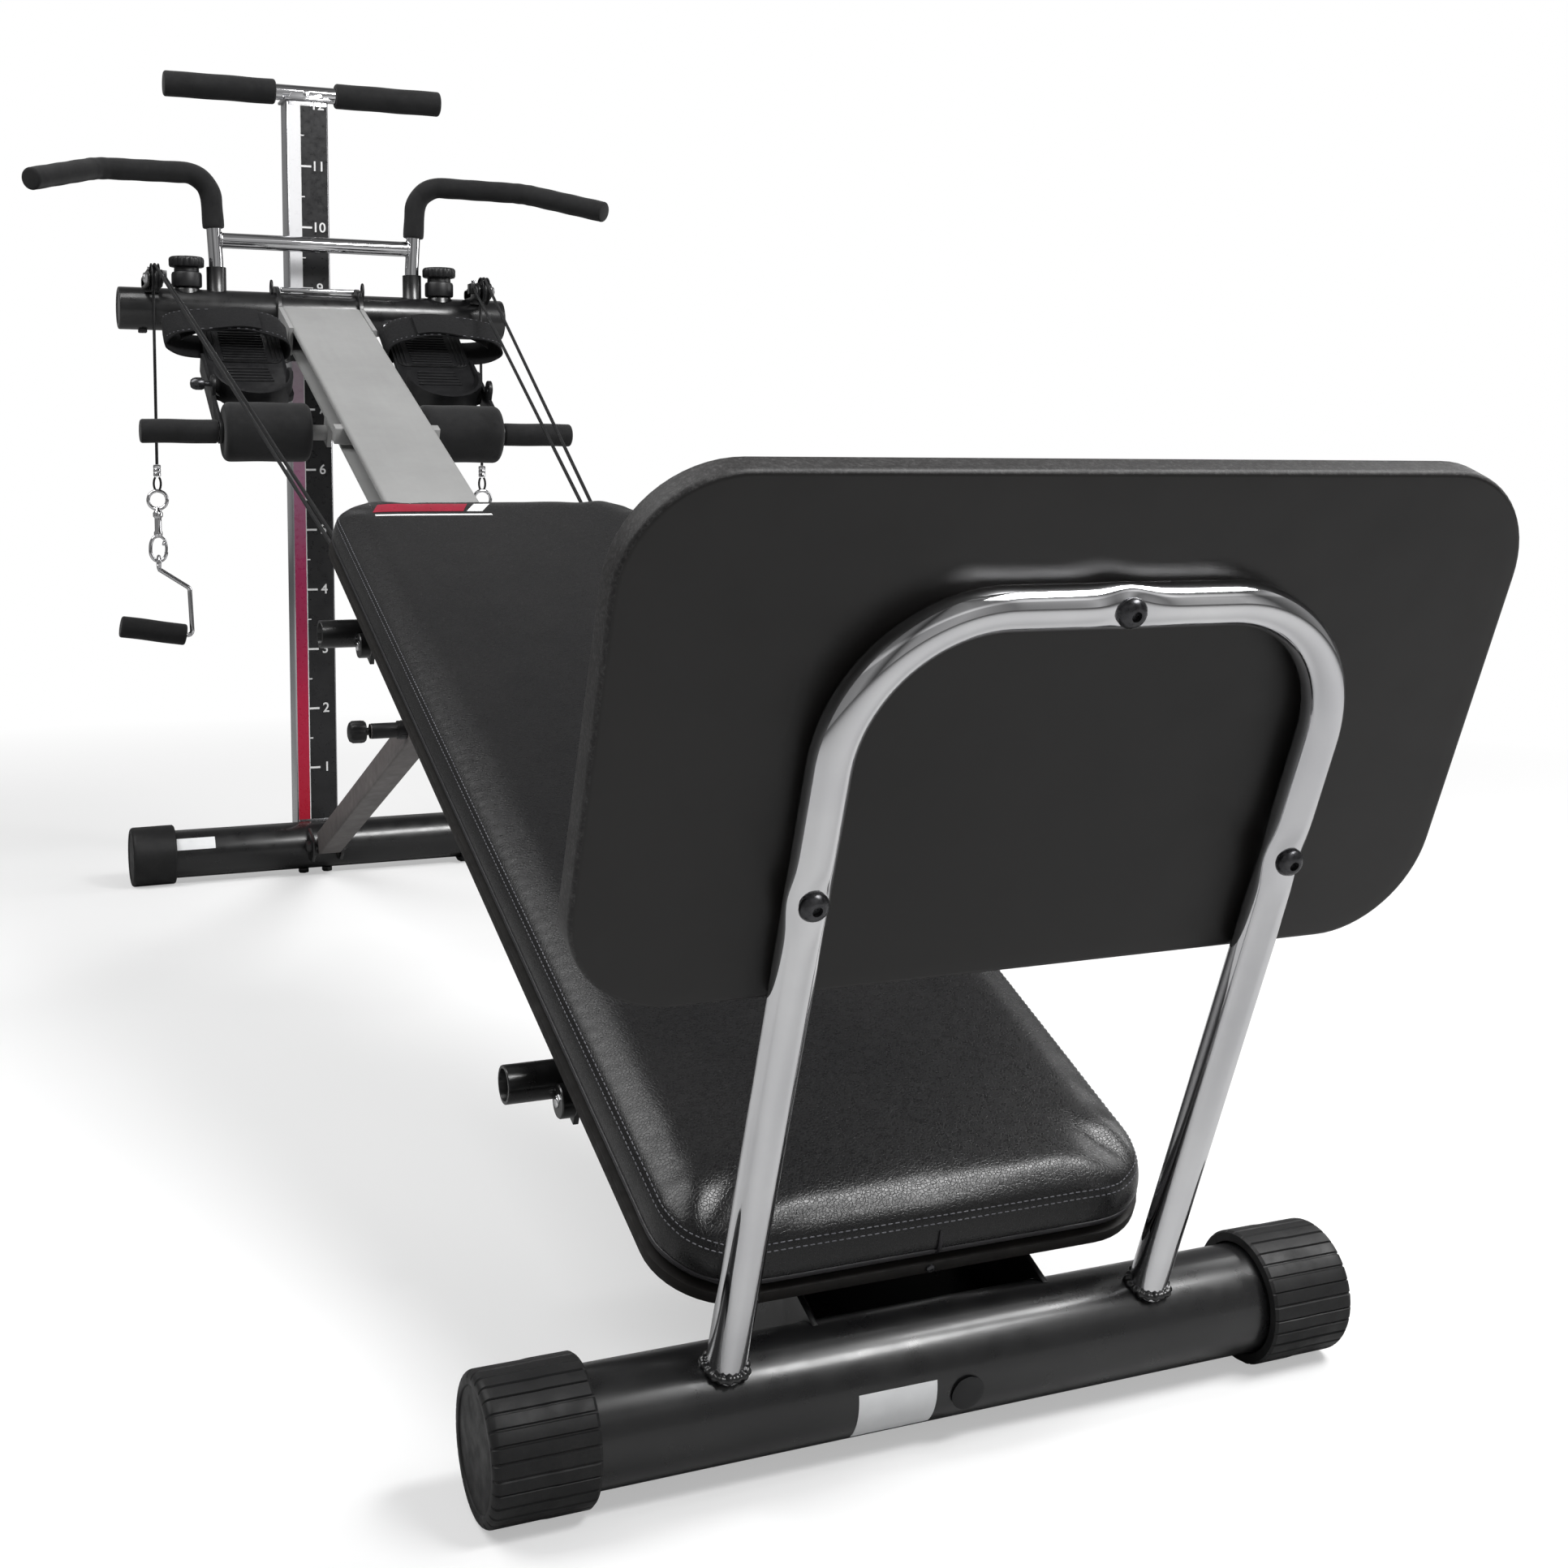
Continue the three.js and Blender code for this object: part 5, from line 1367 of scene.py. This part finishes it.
def rib_loop(name, outline, place, width=2.4, height=2.0):
    rings = []
    count = len(outline)
    for i, (a, b) in enumerate(outline):
        before, after = Vector(outline[i - 1]), Vector(outline[(i + 1) % count])
        along = (after - before).normalized()
        side = Vector((along.y, -along.x)) * width / 2
        rings.append([place(a + side.x * k, b + side.y * k, h) for k, h in
                      ((1, -0.3), (1, height * 0.6), (0.5, height), (-0.5, height), (-1, height * 0.6),
                       (-1, -0.3))])
    return skin(name, rings, loop=True)


STRAP_LOOP = [(88, -13), (142, -13), (200, -13), (236, -6), (254, 10), (244, 26), (205, 34), (142, 36),
              (96, 28), (75, 12), (76, -5)]


def build_strap(n, s):
    """A soft woven band round the foot plate, its free end folded back with a hook-and-loop flap."""
    loop = closed_curve([Vector((a, b)) for a, b in STRAP_LOOP], 10)
    count = len(loop)
    half = 30
    rings = []
    across = [(-1, -0.5), (-0.97, -0.9), (-0.6, -1), (0, -1), (0.6, -1), (0.97, -0.9), (1, -0.5),
              (1, 0.5), (0.97, 0.9), (0.6, 1), (0, 1), (-0.6, 1), (-0.97, 0.9), (-1, 0.5)]
    for i, p in enumerate(loop):
        along = (loop[(i + 1) % count] - loop[i - 1]).normalized()
        out = Vector((along.y, -along.x))
        phase = 2 * math.pi * i / count
        ring_points = []
        for w, d in across:
            crown = 1.2 * math.sin(phase * 3 + 0.6) * (1 - w * w) + 0.9 * math.sin(phase * 7 + w * 1.4)
            shift = (1.6 * d + crown * (1 if p.y > 0 else 0.15))
            q = p + out * shift
            slide = 3.0 * math.sin(phase * 2 + 0.4)
            ring_points.append(foot(s * q.x, 170 + half * w + slide, q.y))
        rings.append(ring_points)
    band = skin(f"strap_band_{n}", rings, loop=True, angle=70)
    flap = strap_flap(n, s)
    seams = stitch_rows(n, s, loop, half)
    piece(merge(f"strap_{n}_shape", [band, flap]), f"pedal_{n}", "webbing", f"pedal_strap_{n}")
    piece(seams, f"pedal_{n}", "thread")


def strap_flap(n, s):
    """The doubled-over end lying on top of the band."""
    rings = []
    for i in range(15):
        a = 118 + i * 8.2
        lift = 38.6 + 2.4 * math.sin(i / 14 * math.pi) - 0.0035 * (a - 150) ** 2 * (1 if a > 150 else 0.4)
        ring_points = []
        for w, d in ((-1, 0), (-1, 1), (-0.5, 1.3), (0, 1.4), (0.5, 1.3), (1, 1), (1, 0), (0, -0.2)):
            ring_points.append(foot(s * a, 170 + 26 * w + 1.5 * math.sin(i * 0.7), lift + d * 2.4))
        rings.append(ring_points)
    return skin(f"strap_flap_{n}", rings, angle=60)


def stitch_rows(n, s, loop, half):
    """Rows of thread near both edges of the band's upper side."""
    rows = []
    upper = [p for p in loop if p.y > 20]
    for side in (-1, 1):
        for i in range(0, len(upper) - 1, 2):
            a, b = upper[i], upper[i].lerp(upper[i + 1], 0.7)
            if (b - a).length > 14:
                continue
            out = Vector(((b - a).y, -(b - a).x)).normalized() * 2.6
            points = [foot(s * (p.x + out.x), 170 + side * (half - 4), p.y + out.y) for p in (a,
                    a.lerp(b, 0.5), b)]
            rows.append(sweep(f"strap_stitch_{n}_{side}_{i}", points, 0.5, 6))
    return merge(f"strap_thread_{n}", rows)


def closed_curve(points, steps):
    count = len(points)
    out = []
    for i in range(count):
        p0, p1, p2, p3 = points[i - 1], points[i], points[(i + 1) % count], points[(i + 2) % count]
        for k in range(steps):
            t = k / steps
            out.append(0.5 * ((2 * p1) + (p2 - p0) * t + (2 * p0 - 5 * p1 + 4 * p2 - p3) * t * t
                              + (3 * p1 - p0 - 3 * p2 + p3) * t ** 3))
    return out


# ---------- glideboard ----------
BOARD_S0, BOARD_S1, BOARD_HALF, BOARD_CORNER = 25, 1227, 191, 62
PAD_LOW, PAD_TOP = 66.3, 111.2


def board_outline(inset, steps=10):
    return rounded_rect(-BOARD_HALF + inset, BOARD_HALF - inset, BOARD_S0 + inset, BOARD_S1 - inset,
                        BOARD_CORNER - inset, steps)


def padding():
    """The padded board: a firm rounded slab, swollen by a short cloth simulation."""
    place = lambda a, b, h: rail(a, b, h)
    start = slab("pad_start", board_outline(1, 12), PAD_LOW, PAD_TOP - 4.5, place, 14, 6)
    scene = bpy.context.scene
    remesh = start.modifiers.new("voxels", "REMESH")
    remesh.mode = "VOXEL"
    remesh.voxel_size = 0.006
    remesh.use_smooth_shade = True
    mesh = bpy.data.meshes.new_from_object(start.evaluated_get(bpy.context.evaluated_depsgraph_get()))
    bpy.data.objects.remove(start)
    pad = bpy.data.objects.new("board_pad", mesh)
    scene.collection.objects.link(pad)
    rest = [v.co.copy() for v in mesh.vertices]
    normal = (rail(0, 0, 1) - rail(0, 0, 0)).normalized()
    origin = rail(0, 0, 0)
    group = pad.vertex_groups.new(name="held")
    held = [v.index for v in mesh.vertices if (v.co - origin).dot(normal) / MM < PAD_LOW + 9]
    group.add(held, 1.0, "REPLACE")
    cloth = pad.modifiers.new("Cloth", "CLOTH")
    cloth.settings.vertex_group_mass = "held"
    cloth.settings.use_pressure = True
    cloth.settings.uniform_pressure_force = 4
    cloth.settings.effector_weights.gravity = 0
    cloth.settings.quality = 4
    cloth.settings.tension_stiffness = 25
    cloth.settings.compression_stiffness = 25
    cloth.settings.bending_stiffness = 4
    for number in range(1, 21):
        scene.frame_set(number)
    swollen = pad.evaluated_get(bpy.context.evaluated_depsgraph_get()).to_mesh()
    moved = [v.co.copy() for v in swollen.vertices]
    pad.modifiers.clear()
    cap = 6.0 * MM
    for vert, old, new in zip(mesh.vertices, rest, moved):
        step = new - old
        if step.length > cap:
            step = step.normalized() * cap
        vert.co = old + step
    scene.frame_set(1)
    smooth = pad.modifiers.new("smooth", "CORRECTIVE_SMOOTH")
    smooth.factor = 0.5
    smooth.iterations = 6
    smooth.use_only_smooth = True
    subdivide = pad.modifiers.new("finer", "SUBSURF")
    subdivide.levels = subdivide.render_levels = 1
    final = bpy.data.meshes.new_from_object(pad.evaluated_get(bpy.context.evaluated_depsgraph_get()))
    pad.modifiers.clear()
    pad.data = final
    for polygon in final.polygons:
        polygon.use_smooth = True
    return pad


def edge_point(tree, a, b, out, height, lift):
    """The pad's own surface beside an outline point, at one height, lifted outwards."""
    direction = (rail(out.x, out.y, 0) - rail(0, 0, 0)).normalized()
    start = rail(a, b, height) + direction * 40 * MM
    hit = tree.ray_cast(start, -direction, 0.08)
    at = hit[0] if hit[0] is not None else rail(a, b, height)
    return at + direction * lift * MM


def along_outline(inset, spacing):
    """Evenly spaced points round the board with their outward directions."""
    outline = [Vector(p) for p in board_outline(inset, 24)]
    count = len(outline)
    lengths = [(outline[(i + 1) % count] - outline[i]).length for i in range(count)]
    total = sum(lengths)
    number = int(total / spacing)
    found = []
    index, walked = 0, 0.0
    for k in range(number):
        target = total * k / number
        while walked + lengths[index] < target:
            walked += lengths[index]
            index += 1
        a, b = outline[index], outline[(index + 1) % count]
        share = (target - walked) / lengths[index]
        along = (b - a).normalized()
        found.append((a.lerp(b, share), Vector((along.y, -along.x))))
    return found


def closed_bead(name, points, radius, sides=8):
    """A closed round bead through points."""
    count = len(points)
    rings = []
    for i, point in enumerate(points):
        tangent = (points[(i + 1) % count] - points[i - 1]).normalized()
        up = (rail(0, 0, 1) - rail(0, 0, 0)).normalized()
        side = tangent.cross(up).normalized()
        rings.append([point + spoke * radius * MM for spoke in spokes(side, up, sides)])
    return skin(name, rings, loop=True, angle=80)


def build_board():
    piece(slab("board_core", board_outline(2, 12), 57, 66, rail, 1.0, 2), "glideboard", "plywood",
          "board_base")
    pad = padding()
    piece(pad, "glideboard", "vinyl", "pad")
    tree = BVHTree.FromObject(pad, bpy.context.evaluated_depsgraph_get())
    beads = []
    dense = along_outline(0, 9)
    for height, lift, radius in ((68.2, 0.2, 1.9), (72.0, 0.2, 1.5), (75.4, 0.2, 1.3)):
        points = [edge_point(tree, p.x, p.y, out, height, lift) for p, out in dense]
        beads.append(closed_bead(f"piping_{height}", points, radius))
    piece(merge("pad_piping", beads), "glideboard", "boxing")
    stitches = []
    spots = along_outline(0, 5.2)
    for height in (94.5, 98.5):
        for i, (p, out) in enumerate(spots):
            q, out_q = spots[(i + 1) % len(spots)]
            a = edge_point(tree, p.x, p.y, out, height, 0.15)
            b = edge_point(tree, q.x, q.y, out_q, height, 0.15)
            stitches.append((a.lerp(b, 0.12), a.lerp(b, 0.78), out))
    fold = [edge_point(tree, 2, BOARD_S0, Vector((0, -1)), h, 0.4) for h in range(69, 93, 3)]
    piece(sweep("pad_join_fold", fold, [1.0, 1.7, 2.0, 2.0, 1.9, 1.7, 1.4, 0.8], 10), "glideboard", "boxing")
    screw = turned("pad_end_screw", [(0, 0), (3.4, 0), (3.2, 1.2), (2.2, 2.0), (1.2, 2.1), (1.0, 1.4),
                                     (0, 1.3)],
                   rail(-2, BOARD_S0 + 2, 61.5), rail(0, -1, 0) - rail(0, 0, 0), 24)
    piece(screw, "glideboard", "bolt_steel")
    thread = stitch_mesh("pad_stitches", stitches, 0.42)
    piece(thread, "glideboard", "thread")
    build_emblem(tree)
    build_underframe()


def stitch_mesh(name, stitches, radius):
    """Many short rods of thread in one object."""
    verts, faces = [], []
    for a, b, _ in stitches:
        u, v, _ = axis_frame(b - a)
        start = len(verts)
        for point, size in ((a, 0.5), (a.lerp(b, 0.15), 1), (a.lerp(b, 0.85), 1), (b, 0.5)):
            verts.extend(point + spoke * radius * size * MM for spoke in spokes(u, v, 5))
        for i in range(3):
            for k in range(5):
                faces.append((start + i * 5 + k, start + i * 5 + (k + 1) % 5,
                              start + (i + 1) * 5 + (k + 1) % 5, start + (i + 1) * 5 + k))
        faces.append(tuple(start + k for k in range(5))[::-1])
        faces.append(tuple(start + 15 + k for k in range(5)))
    return new_object(name, verts, faces, 60)


def build_emblem(tree):
    """A plain printed mark at the pad's upper end: a red bar over a thin white line."""
    normal = (rail(0, 0, 1) - rail(0, 0, 0)).normalized()

    def patch(name, outline, look, lift):
        rows = []
        (a0, a1), (b0, b1), slant = outline
        for j in range(7):
            b = b0 + (b1 - b0) * j / 6
            row = []
            for i in range(25):
                a = a0 + (a1 - a0) * i / 24 + slant * (j / 6 - 0.5)
                hit = tree.ray_cast(rail(a, b, 160), -normal, 0.12)[0]
                row.append((hit or rail(a, b, PAD_TOP)) + normal * lift * MM)
            rows.append(row)
        verts = [p for row in rows for p in row] + [p - normal * 0.5 * MM for row in rows for p in row]
        top = 7 * 25
        faces = []
        for j in range(6):
            for i in range(24):
                q = j * 25 + i
                faces.append((q, q + 1, q + 26, q + 25))
                faces.append((top + q, top + q + 25, top + q + 26, top + q + 1))
        border = [i for i in range(25)] + [j * 25 + 24 for j in range(1, 7)] + [150 + i for i in range(23,
                -1, -1)] + [j * 25 for j in range(5, 0, -1)]
        for a, b in zip(border, border[1:] + border[:1]):
            faces.append((b, a, top + a, top + b))
        return piece(new_object(name, verts, faces, 40), "glideboard", look)

    patch("emblem_bar", ((-140, -38), (1166, 1188), 10), "emblem_red", 0.25)
    patch("emblem_line", ((-144, -12), (1155, 1159), 0), "decal_white", 0.25)
    patch("emblem_stroke", ((-32, -14), (1166, 1188), 14), "decal_white", 0.25)


def build_underframe():
    for k, at in (("lower", 321), ("upper", 1072)):
        parts, bolts = [refined(f"board_beam_{k}", 1.0)], []
        for n, s in SIDES.items():
            y, z = rail_yz(at, 11.7)
            profile = [(12.6, 166), (12.6, 213.6), (13.2, 214), (14.4, 214), (15.05, 213.2), (15.05, 163)]
            parts.append(turned(f"board_socket_{k}_{n}", profile + [(12.6, 163), (12.6, 166)],
                                world(0, y, z), (s, 0, 0), 48))
            parts.append(hex_head(f"axle_{k}_{n}", rail(s * 75.6, at, -20), (s, 0, 0), 12, 5))
            guide = [(0, 0), (12.6, 0), (13.4, 1), (13.4, 11), (12.6, 12), (5, 12), (5, 10), (0, 10)]
            ear_y, ear_z = rail_yz(at - 22, 8)
            parts.append(turned(f"board_guide_{k}_{n}", guide, world(s * 165, ear_y, ear_z), (s, 0, 0), 40))
            bolts.append(hex_head(f"guide_bolt_{k}_{n}", world(s * 175, ear_y, ear_z), (s, 0, 0), 9, 4))
            wheel = [(4.4, 43), (9, 43), (9.4, 44), (14.6, 44), (15.4, 45), (15.4, 57), (14.6, 58),
                     (9.4, 58), (9, 59), (4.4, 59), (4.4, 43)]
            wy, wz = rail_yz(at, -20)
            piece(turned(f"roller_{k}_{n}_wheel", wheel, world(0, wy, wz), (s, 0, 0), 56),
                  f"roller_{k}_{n}", "plastic", f"roller_{k}_{n}")
        piece(merge(f"board_cross_{k}", parts), "glideboard", "black_steel", f"board_beam_{k}")
        piece(merge(f"guide_bolts_{k}", bolts), "glideboard", "chrome")


set_stage()
build_cables()
build_floor_parts()
build_squat_stand()
build_column()
build_carriage()
build_wing_bar()
build_rail()
build_foot_holders()
build_board()
